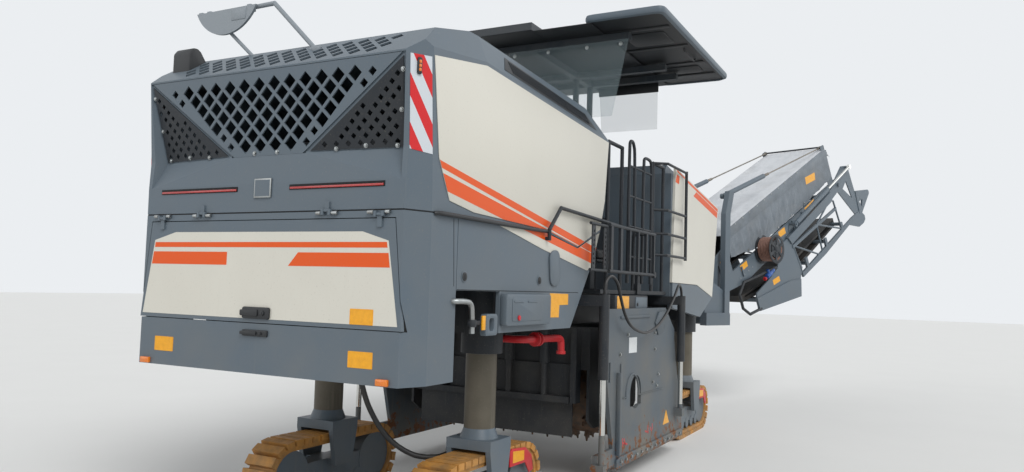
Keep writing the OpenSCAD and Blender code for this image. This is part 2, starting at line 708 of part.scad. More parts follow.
// pins of the conveyor's linkages
strut_s = 1290;
strut_z = 3550;
strut_y = 585;
base_len = 4980;
rope_u = base_len - 220;
rope_v = 575;
module base_section() {
  color(steel) at_pitch() {
    both() {
      side([[-250, -120], [-250, 120], [900, 300], [900, -180],
        [base_len, -180], [base_len, -400], [base_len - 450, -430], [1140, -520], [300, -350]],
        conv_hw - 30, conv_hw);
      translate([0, conv_hw - 10, 0]) rotate([-90, 0, 0]) cylinder(h = 120, r = 40);
      translate([fold_u, conv_hw - 30, fold_v]) rotate([-90, 0, 0]) cylinder(h = 30, r = 75);
      translate([fold_u, conv_hw - 10, fold_v]) rotate([-90, 0, 0]) cylinder(h = 75, r = 35);
      translate([cyl_u, conv_hw - 10, cyl_v]) rotate([-90, 0, 0]) cylinder(h = 168, r = 25);
      // end arch that holds the stays
      side([[rope_u - 100, -190], [rope_u - 60, rope_v + 30], [rope_u + 60, rope_v + 30],
        [rope_u + 120, -190], [rope_u + 120, -300], [rope_u - 100, -300]], conv_hw, conv_hw + 8);
      side([[rope_u - 60, rope_v - 50], [rope_u - 60, rope_v + 30], [rope_u + 60, rope_v + 30],
        [rope_u + 60, rope_v - 50]], conv_hw - 4, conv_hw + 8);
      side([[cyl_u - 100, cyl_v - 100], [cyl_u + 100, cyl_v - 100], [cyl_u, cyl_v + 40]],
        conv_hw, conv_hw + 12);
    }
    for (u = [200, 1500, 2800, 4100]) box(u, u + 80, -conv_hw + 15, conv_hw - 15, -240, -180);
  }
}
fold_u = base_len;
fold_v = -300;
cyl_u = fold_u - 2030;
cyl_v = -240;
cyl_y = conv_hw + 115;
eye_u = fold_u + 450;
eye_v = -100;
module base_belt() {
  color("#202224") at_pitch() difference() {
    box(-150, base_len - 130, -450, 450, -180, -30);
    box(-100, base_len - 180, -500, 500, -140, -70);
  }
}
module base_cover() {
  color("#d5d8dc") at_pitch() difference() {
    side([[905, -179.7], [905, 450], [1060, 520], [base_len - 180, 520], [base_len + 10, 300],
      [base_len, -179.7]],
      -conv_hw + 1, conv_hw - 1);
    side([[800, -250], [800, 430], [1060, 490], [base_len - 200, 490], [base_len + 120, 180],
      [base_len + 120, -250]],
      -conv_hw + 30, conv_hw - 30);
  }
}
// the folded front section, drawn from the fold hinge at u = 0
f_in = conv_hw + 12;
f_out = conv_hw + 50;
module at_tip() { at_pitch() translate([fold_u, 0, 0]) children(); }
side_dark = [[-2480, -420], [-2180, -420], [-2020, -1120], [-2190, -1290], [-2580, -1140],
  [-3680, -905], [-3640, -820], [-3180, -790], [-2830, -740]];
side_light = [[-3690, -890], [-2580, -1120], [-2190, -1270], [-2330, -1560], [-3700, -1130]];
module front_section() {
  color(steel) at_tip() {
    both() {
      // upper box beam, second chord and lower chord
      side([[-2280, -400], [-420, -290], [-400, -470], [-2200, -560]], f_in, f_in + 52);
      side([[-2180, -660], [-2180, -600], [-300, -650], [-300, -700]], f_in, f_out);
      side([[-2080, -1290], [-2080, -1200], [260, -1110], [260, -1180], [-1100, -1285]], f_in, f_out);
      for (q = [[-2170, -600, -1250, -1240], [-2140, -600, -2060, -1220], [-1160, -640, -220, -1150],
        [-1160, -640, -1180, -1240], [-330, -500, -260, -1140], [-420, -420, -1150, -640]])
        bar([q[0], f_in + 19, q[1]], [q[2], f_in + 19, q[3]], 17);
      // discharge end
      side(side_dark, f_in, f_in + 24);
      side(side_light, f_in, f_out + 6);
      // lever of the fold, with its link and the lobed plate
      difference() {
        side([[-130, -230], [-60, -160], [310, -25], [560, -110], [620, -700], [650, -1160],
          [420, -1110], [-60, -420], [-420, -470], [-440, -300]], f_in, f_in + 22);
        side([[360, -360], [160, -450], [460, -780]], f_in - 5, f_in + 40);
        translate([0, f_in - 10, fold_v]) rotate([-90, 0, 0]) cylinder(h = 120, r = 35.3);
      }
      difference() {
        side([[630, -690], [1160, -880], [1205, -930], [1190, -980], [720, -1210], [600, -1190]],
          f_in, f_in + 34);
        side([[690, -950], [850, -960], [760, -1100]], f_in - 5, f_in + 40);
      }
      side([[230, -1110], [660, -1130], [800, -1310], [790, -1390], [690, -1430], [470, -1420],
        [60, -1190]], f_in, f_in + 30);
      translate([eye_u - fold_u, f_in, eye_v]) rotate([-90, 0, 0])
        cylinder(h = cyl_y - 25.5 - f_in, r = 25);
      for (u = [-1830, -980, -240]) box(u - 40, u + 40, f_in, f_out, -1200, -1010);
    }
    // rollers inside the belt
    for (u = [-1830, -980, -240]) translate([u, -f_in - 5, -1024.9 + u * 0.055])
      rotate([-90, 0, 0]) cylinder(h = 2 * f_in + 10, r = 35);
    box(-3420, -3360, -f_in - 5, f_in + 5, -1110, -1040);
    box(-2380, -2320, -f_in - 5, f_in + 5, -1340, -1270);
  }
}
module front_belt() {
  color("#202224") at_tip() difference() {
    side([[-3830, -900], [-2180, -1240], [-130, -1115], [-130, -950], [-2200, -1000],
      [-3830, -780]], -450, 450);
    side([[-3730, -860], [-2180, -1180], [-180, -1070], [-180, -990], [-2200, -1050],
      [-3730, -830]], -460, 460);
  }
}
module nose_guard() {
  color(dark) at_tip() both() difference() {
    tube([[-2880, f_in + 30, -700], [-3920, f_in + 30, -460], [-4140, f_in + 30, -580],
      [-4150, f_in + 30, -840], [-4000, f_in + 30, -1030], [-3640, f_in + 30, -1110]], 24);
    side(side_dark, f_in - 20, f_in + 24);
    side(side_light, f_in - 20, f_out + 6);
  }
}
// hose reel on the right side of the base section
reel_u = 1880;
module hose_reel() {
  color("#8a6a5c") at_pitch() translate([reel_u, -conv_hw - 290, -240]) rotate([-90, 0, 0]) {
    cylinder(h = 12, r = 250);
    translate([0, 0, 260]) cylinder(h = 12, r = 250);
    cylinder(h = 272, r = 165);
    cylinder(h = 290, r = 45);
  }
}

// struts to the conveyor's upper end

module eye(r, r_in, l) {
  rotate([90, 0, 0]) difference() {
    cylinder(h = l, r = r, center = true);
    cylinder(h = l + 2, r = r_in, center = true);
  }
}
// the far end of the stay, in the slewing frame's own side view
stay_s = pivot_s + rope_u * cos(pitch_deg) - rope_v * sin(pitch_deg);
stay_z = pivot_z + rope_u * sin(pitch_deg) + rope_v * cos(pitch_deg);
stay_l = norm([stay_s - strut_s, stay_z - strut_z]);
stay_a = atan2(stay_z - strut_z, stay_s - strut_s);
module on_stay() {
  at_slew() translate([strut_s, strut_y, strut_z]) rotate([0, -stay_a, 0]) children();
}
module strut_barrel() {
  on_stay() {
    eye(45, 18.3, 60);
    difference() {
      translate([40, 0, 0]) rotate([0, 90, 0]) cylinder(h = 1300, r = 42);
      translate([800, 0, 0]) rotate([0, 90, 0]) cylinder(h = 600, r = 24.3);
    }
  }
}
module strut_rod() {
  on_stay() {
    translate([1010, 0, 0]) rotate([0, 90, 0]) cylinder(h = 500, r = 24);
    translate([1500, 0, 0]) rotate([0, 90, 0]) cylinder(h = stay_l - 1560, r = 12);
    translate([stay_l, 0, 0]) rotate([90, 0, 0]) cylinder(h = 24, r = 30, center = true);
    translate([stay_l - 120, 0, 0]) rotate([0, 90, 0]) cylinder(h = 100, r = 18);
  }
}
module at_left() { translate([slew_x, 0, 0]) rotate([0, 0, -slew_deg]) mirror([0, 1, 0])
  rotate([0, 0, slew_deg]) translate([-slew_x, 0, 0]) children(); }
module strut_barrel_left() { color(steel) strut_barrel(); }
module strut_barrel_right() { color(steel) at_left() strut_barrel(); }
module strut_rod_left() { color("#9aa0a5") strut_rod(); }
module strut_rod_right() { color("#9aa0a5") at_left() strut_rod(); }
fold_l = norm([eye_u - cyl_u, eye_v - cyl_v]);
fold_a = atan2(eye_v - cyl_v, eye_u - cyl_u);
module on_fold() {
  at_pitch() translate([cyl_u, cyl_y, cyl_v]) rotate([0, -fold_a, 0]) children();
}
module fold_barrel() {
  on_fold() {
    eye(50, 25.3, 60);
    difference() {
      translate([45, 0, 0]) rotate([0, 90, 0]) cylinder(h = 1400, r = 45);
      translate([60, 0, 0]) rotate([0, 90, 0]) cylinder(h = 1500, r = 24.3);
    }
  }
}
module fold_rod() {
  on_fold() {
    translate([960, 0, 0]) rotate([0, 90, 0]) cylinder(h = fold_l - 1000, r = 24);
    translate([fold_l, 0, 0]) rotate([90, 0, 0]) cylinder(h = 50, r = 45, center = true);
  }
}
module fold_barrel_left() { color(steel) fold_barrel(); }
module fold_barrel_right() { color(steel) at_left() fold_barrel(); }
module fold_rod_left() { color("#c9ccd0") fold_rod(); }
module fold_rod_right() { color("#c9ccd0") at_left() fold_rod(); }

main_frame();
engine();
rear_shell();
side_shells();
tool_boxes();
drum_housing();
red_pipe();
platform();
seats();
tank_body();
tank_panels();
platform_rails();
primary_conveyor();
tie_down_eyes();
plate_barrels();
marker_lamps();
hood_shell();
hood_panels();
coarse_lattice();
fine_grilles();
exhaust();
mirror_frame();
mirror_plate();
rear_flap();
flap_handle();
milling_drum();
side_plate_right();
side_plate_left();
scraper();
leg_rear_right();
track_rear_right();
leg_rear_left();
track_rear_left();
leg_front_right();
track_front_right();
leg_front_left();
track_front_left();
ladder_right();
ladder_left();
roof_lift();
roof_right();
roof_rods();
rear_windows();
slew_frame();
base_section();
base_belt();
base_cover();
front_section();
front_belt();
nose_guard();
hose_reel();
strut_barrel_right();
strut_barrel_left();
strut_rod_right();
strut_rod_left();
fold_barrel_right();
fold_barrel_left();
fold_rod_right();
fold_rod_left();
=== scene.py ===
# %% [markdown]
# # A cold planer, dressed over its CAD model
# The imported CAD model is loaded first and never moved. Everything added here is
# placed in metres in the same frame: x points forward, y to the machine's left,
# z up, and the origin lies on the ground under the milling drum.

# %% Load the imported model
import math

import bpy
from mathutils import Matrix, Vector


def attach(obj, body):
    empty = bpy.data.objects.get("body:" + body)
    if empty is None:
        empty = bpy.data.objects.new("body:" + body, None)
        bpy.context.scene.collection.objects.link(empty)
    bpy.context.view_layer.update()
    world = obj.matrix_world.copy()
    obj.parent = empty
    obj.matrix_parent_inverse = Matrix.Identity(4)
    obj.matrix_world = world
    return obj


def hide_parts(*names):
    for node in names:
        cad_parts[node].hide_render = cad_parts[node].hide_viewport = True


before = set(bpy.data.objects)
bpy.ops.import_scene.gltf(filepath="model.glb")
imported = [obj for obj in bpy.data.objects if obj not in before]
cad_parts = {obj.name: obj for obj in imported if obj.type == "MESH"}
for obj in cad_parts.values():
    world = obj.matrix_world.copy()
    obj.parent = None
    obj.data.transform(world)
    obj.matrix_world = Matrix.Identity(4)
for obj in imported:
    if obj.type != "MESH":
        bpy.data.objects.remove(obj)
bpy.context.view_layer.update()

# %% [markdown]
# ## Camera, floor and light
# The photo was taken with a wide lens from behind the right rear corner, at
# about the height of a grown-up's eyes plus a low step. The place, the turn and
# the lens were worked out from the machine's rear face and side, so the same
# values put the model where it is in the photo.

# %% Camera
yaw, pitch, roll = math.radians(27.8), math.radians(3.73), math.radians(1.70)
look = Vector((math.cos(yaw) * math.cos(pitch), math.sin(yaw) * math.cos(pitch), math.sin(pitch)))
side_way = Vector((math.sin(yaw), -math.cos(yaw), 0))
top_way = side_way.cross(look)
cam_x = side_way * math.cos(roll) + top_way * math.sin(roll)
cam_y = top_way * math.cos(roll) - side_way * math.sin(roll)
camera_data = bpy.data.cameras.new("camera")
camera = bpy.data.objects.new("camera", camera_data)
bpy.context.scene.collection.objects.link(camera)
camera.matrix_world = Matrix.Translation((-8.16, -4.076, 1.93)) @ Matrix(
    (cam_x, cam_y, -look)).transposed().to_4x4()
camera_data.sensor_width = 36.0
camera_data.lens = 36.0 * 803 / 1024
camera_data.clip_start, camera_data.clip_end = 0.05, 200
bpy.context.scene.camera = camera
print("lens", round(camera_data.lens, 1), "mm")

# %% [markdown]
# Every material is built from a few nodes. One small function adds any node with
# its settings and wires, and another turns the usual sRGB hex colours into the
# linear numbers that the shader works in.

# %% Small helpers for materials
def linear(hexa):
    parts = [int(hexa[i:i + 2], 16) / 255 for i in (1, 3, 5)]
    return [p / 12.92 if p <= 0.04045 else ((p + 0.055) / 1.055) ** 2.4 for p in parts] + [1.0]


def put(tree, kind, inputs=None, **settings):
    """Adds one node, sets its properties, and sets or wires its inputs."""
    made = tree.nodes.new(kind)
    for key, value in settings.items():
        setattr(made, key, value)
    for key, value in (inputs or {}).items():
        if isinstance(value, bpy.types.NodeSocket):
            tree.links.new(value, made.inputs[key])
        else:
            made.inputs[key].default_value = value
    return made


def start_material(name, **sockets):
    """A material with its main shader, whose constant sockets are set directly."""
    material = bpy.data.materials.new(name)
    material.use_nodes = True
    tree = material.node_tree
    shader = tree.nodes["Principled BSDF"]
    for key, value in sockets.items():
        shader.inputs[key.replace("_", " ")].default_value = value
    place = put(tree, "ShaderNodeTexCoord").outputs["Object"]
    return material, tree, shader, place


def mix(tree, factor, a, b):
    """Blends two colours, or colour wires, by a factor."""
    return put(tree, "ShaderNodeMix", {0: factor, 6: a, 7: b}, data_type="RGBA").outputs[2]


def band(tree, value, low, high, to_low=0.0, to_high=1.0):
    """Turns the stretch low..high of a value into to_low..to_high, and clips the rest."""
    return put(tree, "ShaderNodeMapRange", {"Value": value, "From Min": low, "From Max": high,
               "To Min": to_low, "To Max": to_high}).outputs["Result"]


def cloud(tree, place, scale, detail=4.0, roughness=0.55, stretch=(1, 1, 1)):
    """Noise of a real size: scale is in features per metre."""
    if stretch != (1, 1, 1):
        place = put(tree, "ShaderNodeMapping", {"Vector": place, "Scale": stretch}).outputs[0]
    return put(tree, "ShaderNodeTexNoise", {"Vector": place, "Scale": scale, "Detail": detail,
               "Roughness": roughness}).outputs["Fac"]


def relief(tree, shader, height, strength, distance):
    bump = put(tree, "ShaderNodeBump", {"Height": height, "Strength": strength, "Distance": distance})
    tree.links.new(bump.outputs["Normal"], shader.inputs["Normal"])


# %% [markdown]
# ## Paint on a machine that works in road dust
# All painted sheet metal is sprayed two-part enamel. New, it is an even colour
# with a faint orange-peel skin. At work it takes a grey-brown film of milling
# dust, more of it lower down, runs from rain, and chips that show primer and
# rust on the low steel. One function makes them all, so the sheets differ only in colour,
# gloss and how dirty they are.

# %% Machine enamel
def machine_enamel(name, colour, rough=0.42, dust=0.35, chips=0.0, low=0.3, high=2.6, film="#8d8577"):
    material, tree, shader, place = start_material(name, Specular_IOR_Level=0.3)
    z = put(tree, "ShaderNodeSeparateXYZ", {0: place}).outputs["Z"]
    lowness = band(tree, z, low, high, 1.0, 0.25)
    patches = band(tree, cloud(tree, place, 2.3, 6), 0.35, 0.75)
    runs = band(tree, cloud(tree, place, 1.0, 5, 0.6, (26, 26, 1.6)), 0.5, 0.8)
    specks = band(tree, cloud(tree, place, 70, 3), 0.62, 0.75)
    dirt = put(tree, "ShaderNodeMath", {0: patches, 1: runs}, operation="MAXIMUM").outputs[0]
    dirt = put(tree, "ShaderNodeMath", {0: dirt, 1: lowness}, operation="MULTIPLY").outputs[0]
    dirt = put(tree, "ShaderNodeMath", {0: dirt, 1: dust}, operation="MULTIPLY", use_clamp=True).outputs[0]
    shade = band(tree, cloud(tree, place, 0.9, 3), 0.3, 0.7, 0.0, 0.16)
    base = mix(tree, shade, linear(colour), [c * 0.8 for c in linear(colour)[:3]] + [1])
    base = mix(tree, dirt, base, linear(film))
    if chips:
        flaw = put(tree, "ShaderNodeMath", {0: cloud(tree, place, 9, 8, 0.7), 1: lowness},
                   operation="MULTIPLY").outputs[0]
        flaw = band(tree, flaw, 0.66 - chips * 0.2, 0.7 - chips * 0.2)
        rust = mix(tree, cloud(tree, place, 40, 4), linear("#5a3a26"), linear("#8a5a36"))
        base = mix(tree, flaw, base, rust)
    base = mix(tree, put(tree, "ShaderNodeMath", {0: specks, 1: 0.25}, operation="MULTIPLY").outputs[0],
               base, linear(film))
    tree.links.new(base, shader.inputs["Base Color"])
    gloss = put(tree, "ShaderNodeMath", {0: dirt, 1: 0.6, 2: rough}, operation="MULTIPLY_ADD",
                use_clamp=True).outputs[0]
    tree.links.new(gloss, shader.inputs["Roughness"])
    relief(tree, shader, cloud(tree, place, 160, 3), 0.06, 0.002)
    return material


body_enamel = machine_enamel("satin blue-grey machine enamel", "#5d6973", 0.4, 0.3)
dark_enamel = machine_enamel("dark grey chassis enamel", "#262b31", 0.5, 0.2, chips=0.1)
cream_enamel = machine_enamel("gloss cream enamel", "#d6d3c8", 0.36, 0.12)
orange_enamel = machine_enamel("gloss orange enamel", "#e2560f", 0.36, 0.06)
red_enamel = machine_enamel("signal red enamel", "#c4222c", 0.35, 0.25)
plate_enamel = machine_enamel("scuffed side plate enamel", "#525c64", 0.48, 0.75, chips=0.8, high=1.6)
column_enamel = machine_enamel("grimy olive-grey column enamel", "#565146", 0.45, 0.5, chips=0.25)
canopy_enamel = machine_enamel("charcoal canopy enamel", "#333a41", 0.45, 0.3, high=6.0)


# %% [markdown]
# ## Metals without paint
# Piston rods are ground and hard-chromed, bolts and hinge sleeves are zinc-plated, and
# wearing edges are rubbed bright. All are full metals with a faint drawn grain. Only the
# grain's direction, the roughness and a film of grime tell them apart, so one function
# makes all three.

# %% Bare and coated metals
def plated_metal(name, colour, rough, grain=(1, 1, 1), film=0.0):
    """Chrome or zinc plate and worn bare steel: metallic, with fine drawn lines."""
    material, tree, shader, place = start_material(name, Metallic=1.0)
    lines = cloud(tree, place, 6, 5, 0.6, grain)
    base = mix(tree, lines, linear(colour), [c * 0.7 for c in linear(colour)[:3]] + [1])
    if film:
        grime = band(tree, cloud(tree, place, 5, 6), 0.45, 0.7, 0, film)
        base = mix(tree, grime, base, linear("#6b6156"))
    tree.links.new(base, shader.inputs["Base Color"])
    tree.links.new(band(tree, lines, 0.3, 0.7, rough * 0.75, rough * 1.3), shader.inputs["Roughness"])
    relief(tree, shader, lines, 0.05, 0.001)
    return material


chrome_rod = plated_metal("hard chrome on ground rods", "#dcdcd8", 0.12)
worn_steel = plated_metal("worn bright steel", "#8d877e", 0.42, (1, 1, 8), 0.6)
zinc_plate = plated_metal("zinc-plated sheet", "#b4b8b8", 0.38, (1, 1, 1), 0.35)


# %% [markdown]
# ## Stuffs with a matt skin
# The drum is flame-cut steel that rusts between shifts, the track pads are cast
# polyurethane, belts and seals are rubber and latches are moulded plastic. None of them
# is a mirror, so two close tones, a grained skin and some dust are enough, with the grain
# set in features per metre.

# %% Cast steel, rubber and plastics
def matte_stuff(name, colour, second, scale, rough, bump, film=0.0, low=0.0, high=2.0, **sockets):
    """Cast iron, rubber, moulded plastic and pads: two mixed tones, dust and a grained skin."""
    material, tree, shader, place = start_material(name, **sockets)
    grain = cloud(tree, place, scale, 6, 0.65)
    base = mix(tree, band(tree, grain, 0.35, 0.7), linear(colour), linear(second))
    if film:
        z = put(tree, "ShaderNodeSeparateXYZ", {0: place}).outputs["Z"]
        grime = band(tree, cloud(tree, place, 3.5, 6), 0.35, 0.7, 0, film)
        grime = put(tree, "ShaderNodeMath", {0: grime, 1: band(tree, z, low, high, 1, 0.3)},
                    operation="MULTIPLY").outputs[0]
        base = mix(tree, grime, base, linear("#8b8273"))
    tree.links.new(base, shader.inputs["Base Color"])
    tree.links.new(band(tree, grain, 0.3, 0.7, rough * 0.85, min(1, rough * 1.15)),
                   shader.inputs["Roughness"])
    relief(tree, shader, grain, bump, 0.003)
    return material


drum_steel = matte_stuff("rusty flame-cut drum steel", "#4a4039", "#7a5236", 14, 0.75, 0.4, 0.5)
pad_polymer = matte_stuff("worn ochre polyurethane pads", "#c98d3c", "#8f6a3c", 9, 0.7, 0.25, 0.55, 0, 0.7)
black_rubber = matte_stuff("black rubber", "#17181a", "#26272a", 40, 0.65, 0.15, 0.25)
belt_rubber = matte_stuff("conveyor belt rubber", "#1b1c1e", "#2b2b2c", 25, 0.6, 0.15, 0.4)
black_plastic = matte_stuff("black moulded plastic", "#1c1e20", "#26282b", 120, 0.5, 0.08)
grey_plastic = matte_stuff("grey moulded plastic", "#8b9298", "#7d858b", 120, 0.45, 0.05)
engine_iron = matte_stuff("painted engine block", "#3c4146", "#2f3338", 8, 0.6, 0.1)
seat_vinyl = matte_stuff("black seat vinyl", "#1d1e20", "#282a2d", 200, 0.5, 0.12)
hose_rubber = matte_stuff("reddish-brown braided hose", "#8a6658", "#6e5045", 60, 0.6, 0.2)

# %% [markdown]
# Lamp lenses are clear-coated plastic, and the panes are thin safety glass. The glass is
# mostly see-through by its alpha, because thin flat panes bend no light that would show.

# %% Lenses and glass
amber_lens = matte_stuff("amber lamp lens", "#e8821c", "#d86a12", 90, 0.2, 0.03, Coat_Weight=0.6)
red_lens = matte_stuff("red lamp lens", "#b3201c", "#961814", 90, 0.2, 0.03, Coat_Weight=0.6)
window_glass, tree, shader, place = start_material(
    "tinted safety glass", Roughness=0.05, IOR=1.45, Alpha=0.16, Specular_IOR_Level=0.6)
tree.links.new(mix(tree, cloud(tree, place, 4), linear("#7f99a1"), linear("#93a8ac")),
               shader.inputs["Base Color"])

# %% [markdown]
# The folded conveyor wears a tarpaulin: polyester cloth coated with soft PVC.
# Its skin shows the woven threads faintly and hangs in shallow wrinkles.

# %% Coated tarpaulin
def tarpaulin(name, colour, second):
    material, tree, shader, place = start_material(name, Sheen_Weight=0.15)
    folds = cloud(tree, place, 5, 4, 0.6)
    base = mix(tree, band(tree, folds, 0.3, 0.75), linear(colour), linear(second))
    grime = band(tree, cloud(tree, place, 2, 6), 0.5, 0.8, 0, 0.35)
    base = mix(tree, grime, base, linear("#8c867b"))
    tree.links.new(base, shader.inputs["Base Color"])
    shader.inputs["Roughness"].default_value = 0.62
    # threads every 1.2 mm in truth, drawn about every 8 mm so that they show
    weave = put(tree, "ShaderNodeTexWave", {"Vector": place, "Scale": 38.0, "Distortion": 0.4}).outputs["Fac"]
    height = put(tree, "ShaderNodeMath", {0: folds, 1: 12.0, 2: weave}, operation="MULTIPLY_ADD").outputs[0]
    relief(tree, shader, height, 0.35, 0.004)
    return material


white_tarpaulin = tarpaulin("white coated tarpaulin", "#d9dce0", "#c6cacf")
grey_tarpaulin = tarpaulin("grey coated tarpaulin", "#747d85", "#5f676f")

# %% [markdown]
# ## Floor and light
# The machine stands on a large matt floor that keeps its shadow. The pale backdrop is at
# full strength for the camera, for mirrors and through glass, and lights the machine at half that.
# The lamps are distant suns, wide enough for soft shadows: the machine is 14 m long, and
# near lamps would leave its far end dark.

# %% Floor
floor_stuff, tree, shader, place = start_material("pale matt floor", Roughness=0.9)
tree.links.new(mix(tree, cloud(tree, place, 0.8, 3), linear("#e6e6e4"), linear("#eaeae8")),
               shader.inputs["Base Color"])
bpy.ops.object.select_all(action="DESELECT")
bpy.ops.mesh.primitive_plane_add(size=160)
floor = bpy.context.object
floor.name = "floor"
floor.data.materials.append(floor_stuff)

# %% Backdrop and lamps
bpy.context.scene.view_settings.view_transform = "Standard"
world = bpy.data.worlds.new("soft sky")
bpy.context.scene.world = world
world.use_nodes = True
sky = world.node_tree
rays = put(sky, "ShaderNodeLightPath")
seen = put(sky, "ShaderNodeMath", {0: rays.outputs["Is Camera Ray"], 1: rays.outputs["Is Glossy Ray"]},
           operation="MAXIMUM").outputs[0]
seen = put(sky, "ShaderNodeMath", {0: seen, 1: rays.outputs["Is Transmission Ray"]},
           operation="MAXIMUM").outputs[0]
sky.nodes["Background"].inputs["Color"].default_value = linear("#e9ecef")
sky.links.new(band(sky, seen, 0, 1, 0.5, 1.02), sky.nodes["Background"].inputs["Strength"])


def sun(name, place, aim, angle, power):
    """A distant lamp whose light comes from place towards aim."""
    data = bpy.data.lights.new(name, "SUN")
    data.angle, data.energy = math.radians(angle), power
    made = bpy.data.objects.new(name, data)
    bpy.context.scene.collection.objects.link(made)
    made.matrix_world = Matrix.Translation(place) @ (Vector(aim) - Vector(place)).to_track_quat(
        "-Z", "Y").to_matrix().to_4x4()


sun("key light", (-9, -13, 16), (1, 0, 1.5), 30, 1.7)
sun("fill light", (-16, 9, 9), (-2, 0, 2), 50, 0.5)
sun("front light", (14, -12, 10), (4, -1, 2.5), 40, 0.45)

# %% [markdown]
# ## Finishes on the CAD solids
# Shapes that the CAD model already has right stay as they are, and only get
# their finish. A node's material slot is filled by name.

# %% Paint the CAD nodes
finishes = {
    body_enamel: ["rear_shell", "rear_flap", "leg_rear_right", "leg_rear_left", "leg_front_right",
                  "leg_front_left", "side_shells", "tool_boxes", "tank_body", "hood_shell",
                  "coarse_lattice", "slew_frame", "base_section", "front_section", "strut_barrel_right",
                  "strut_barrel_left", "fold_barrel_right", "fold_barrel_left"],
    plate_enamel: ["side_plate_right", "side_plate_left"],
    dark_enamel: ["main_frame", "plate_barrels", "drum_housing", "platform", "primary_conveyor",
                  "platform_rails", "scraper",
                  "fine_grilles", "nose_guard", "flap_handle", "ladder_right", "ladder_left"],
    canopy_enamel: ["roof_lift", "roof_right"],
    cream_enamel: ["tank_panels", "hood_panels"],
    red_enamel: ["red_pipe", "tie_down_eyes"],
    pad_polymer: ["track_rear_right", "track_rear_left", "track_front_right", "track_front_left"],
    drum_steel: ["milling_drum"],
    engine_iron: ["engine"],
    seat_vinyl: ["seats"],
    amber_lens: ["marker_lamps"],
    black_rubber: ["exhaust"],
    grey_plastic: ["mirror_frame", "mirror_plate"],
    worn_steel: ["strut_rod_right", "strut_rod_left"],
    chrome_rod: ["fold_rod_right", "fold_rod_left", "roof_rods"],
    window_glass: ["rear_windows"],
    belt_rubber: ["base_belt", "front_belt"],
    white_tarpaulin: ["base_cover"],
    hose_rubber: ["hose_reel"],
}
for finish, nodes in finishes.items():
    for name in nodes:
        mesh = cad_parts[name].data
        mesh.materials.clear()
        mesh.materials.append(finish)
print(sum(len(n) for n in finishes.values()), "nodes painted of", len(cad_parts))

# %% [markdown]
# ## Tools for modelling the added pieces
# Each piece is modelled flat on the ground at its real size, and is then carried to
# its place. What repeats is modelled once and copied.

# %% Selecting, shaping and placing
def only(*chosen):
    """Leaves just these objects selected, the first one active."""
    bpy.ops.object.select_all(action="DESELECT")
    for piece in chosen:
        piece.select_set(True)
    bpy.context.view_layer.objects.active = chosen[0]


def shape(piece, kind, **settings):
    """Adds one modifier and applies it at once."""
    only(piece)
    made = piece.modifiers.new(kind.title(), kind)
    for key, value in settings.items():
        setattr(made, key, value)
    bpy.ops.object.modifier_apply(modifier=made.name)


def soften(piece, width, segments=2, angle=35):
    shape(piece, "BEVEL", width=width, segments=segments, limit_method="ANGLE",
          angle_limit=math.radians(angle), harden_normals=False)


def place_at(piece, matrix):
    """Carries the piece to its place and leaves its object at the origin."""
    only(piece)
    piece.matrix_world = matrix @ piece.matrix_world
    bpy.ops.object.transform_apply(location=True, rotation=True, scale=True)


def keep(piece, name, finish, body, smooth=30):
    """Names the piece, gives it its finish and lets it ride on its CAD body."""
    only(piece)
    bpy.ops.object.transform_apply(location=True, rotation=True, scale=True)
    if smooth:
        bpy.ops.object.shade_smooth_by_angle(angle=math.radians(smooth))
    piece.name = piece.data.name = name
    piece.data.materials.clear()
    piece.data.materials.append(finish)
    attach(piece, body)
    return piece


# %% [markdown]
# Most of the added pieces are cut sheet metal, softened blocks, round bars and bent
# tubes. Each has one function that makes it from its outline and its real thickness, as
# in a workshop: the sheet is extruded in edit mode and its edges are bevelled.

# %% Sheets, blocks and discs
def cut_sheet(outline, thick, matrix=None, edge=0.0, holes=()):
    """A plate cut to an outline on the ground, raised to its thickness."""
    mesh = bpy.data.meshes.new("plate")
    mesh.from_pydata([(x, y, 0) for x, y in outline], [], [range(len(outline))])
    piece = bpy.data.objects.new("plate", mesh)
    bpy.context.scene.collection.objects.link(piece)
    only(piece)
    bpy.ops.object.mode_set(mode="EDIT")
    bpy.ops.mesh.select_all(action="SELECT")
    bpy.ops.mesh.extrude_region_move(TRANSFORM_OT_translate={"value": (0, 0, thick)})
    bpy.ops.mesh.select_all(action="SELECT")
    bpy.ops.mesh.normals_make_consistent(inside=False)
    bpy.ops.object.mode_set(mode="OBJECT")
    for hole in holes:
        cutter = cut_sheet(hole, thick * 3 + 0.02, Matrix.Translation((0, 0, -thick - 0.01)))
        shape(piece, "BOOLEAN", object=cutter, operation="DIFFERENCE", solver="EXACT")
        bpy.data.objects.remove(cutter)
    if edge:
        soften(piece, edge)
    if matrix is not None:
        place_at(piece, matrix)
    return piece


def block(x0, x1, y0, y1, z0, z1, edge=0.004, matrix=None):
    """A box with softened edges between two corners."""
    bpy.ops.object.select_all(action="DESELECT")
    bpy.ops.mesh.primitive_cube_add(size=1, location=((x0 + x1) / 2, (y0 + y1) / 2, (z0 + z1) / 2),
                                    scale=(x1 - x0, y1 - y0, z1 - z0))
    piece = bpy.context.object
    bpy.ops.object.transform_apply(location=True, rotation=True, scale=True)
    soften(piece, edge)
    if matrix is not None:
        place_at(piece, matrix)
    return piece


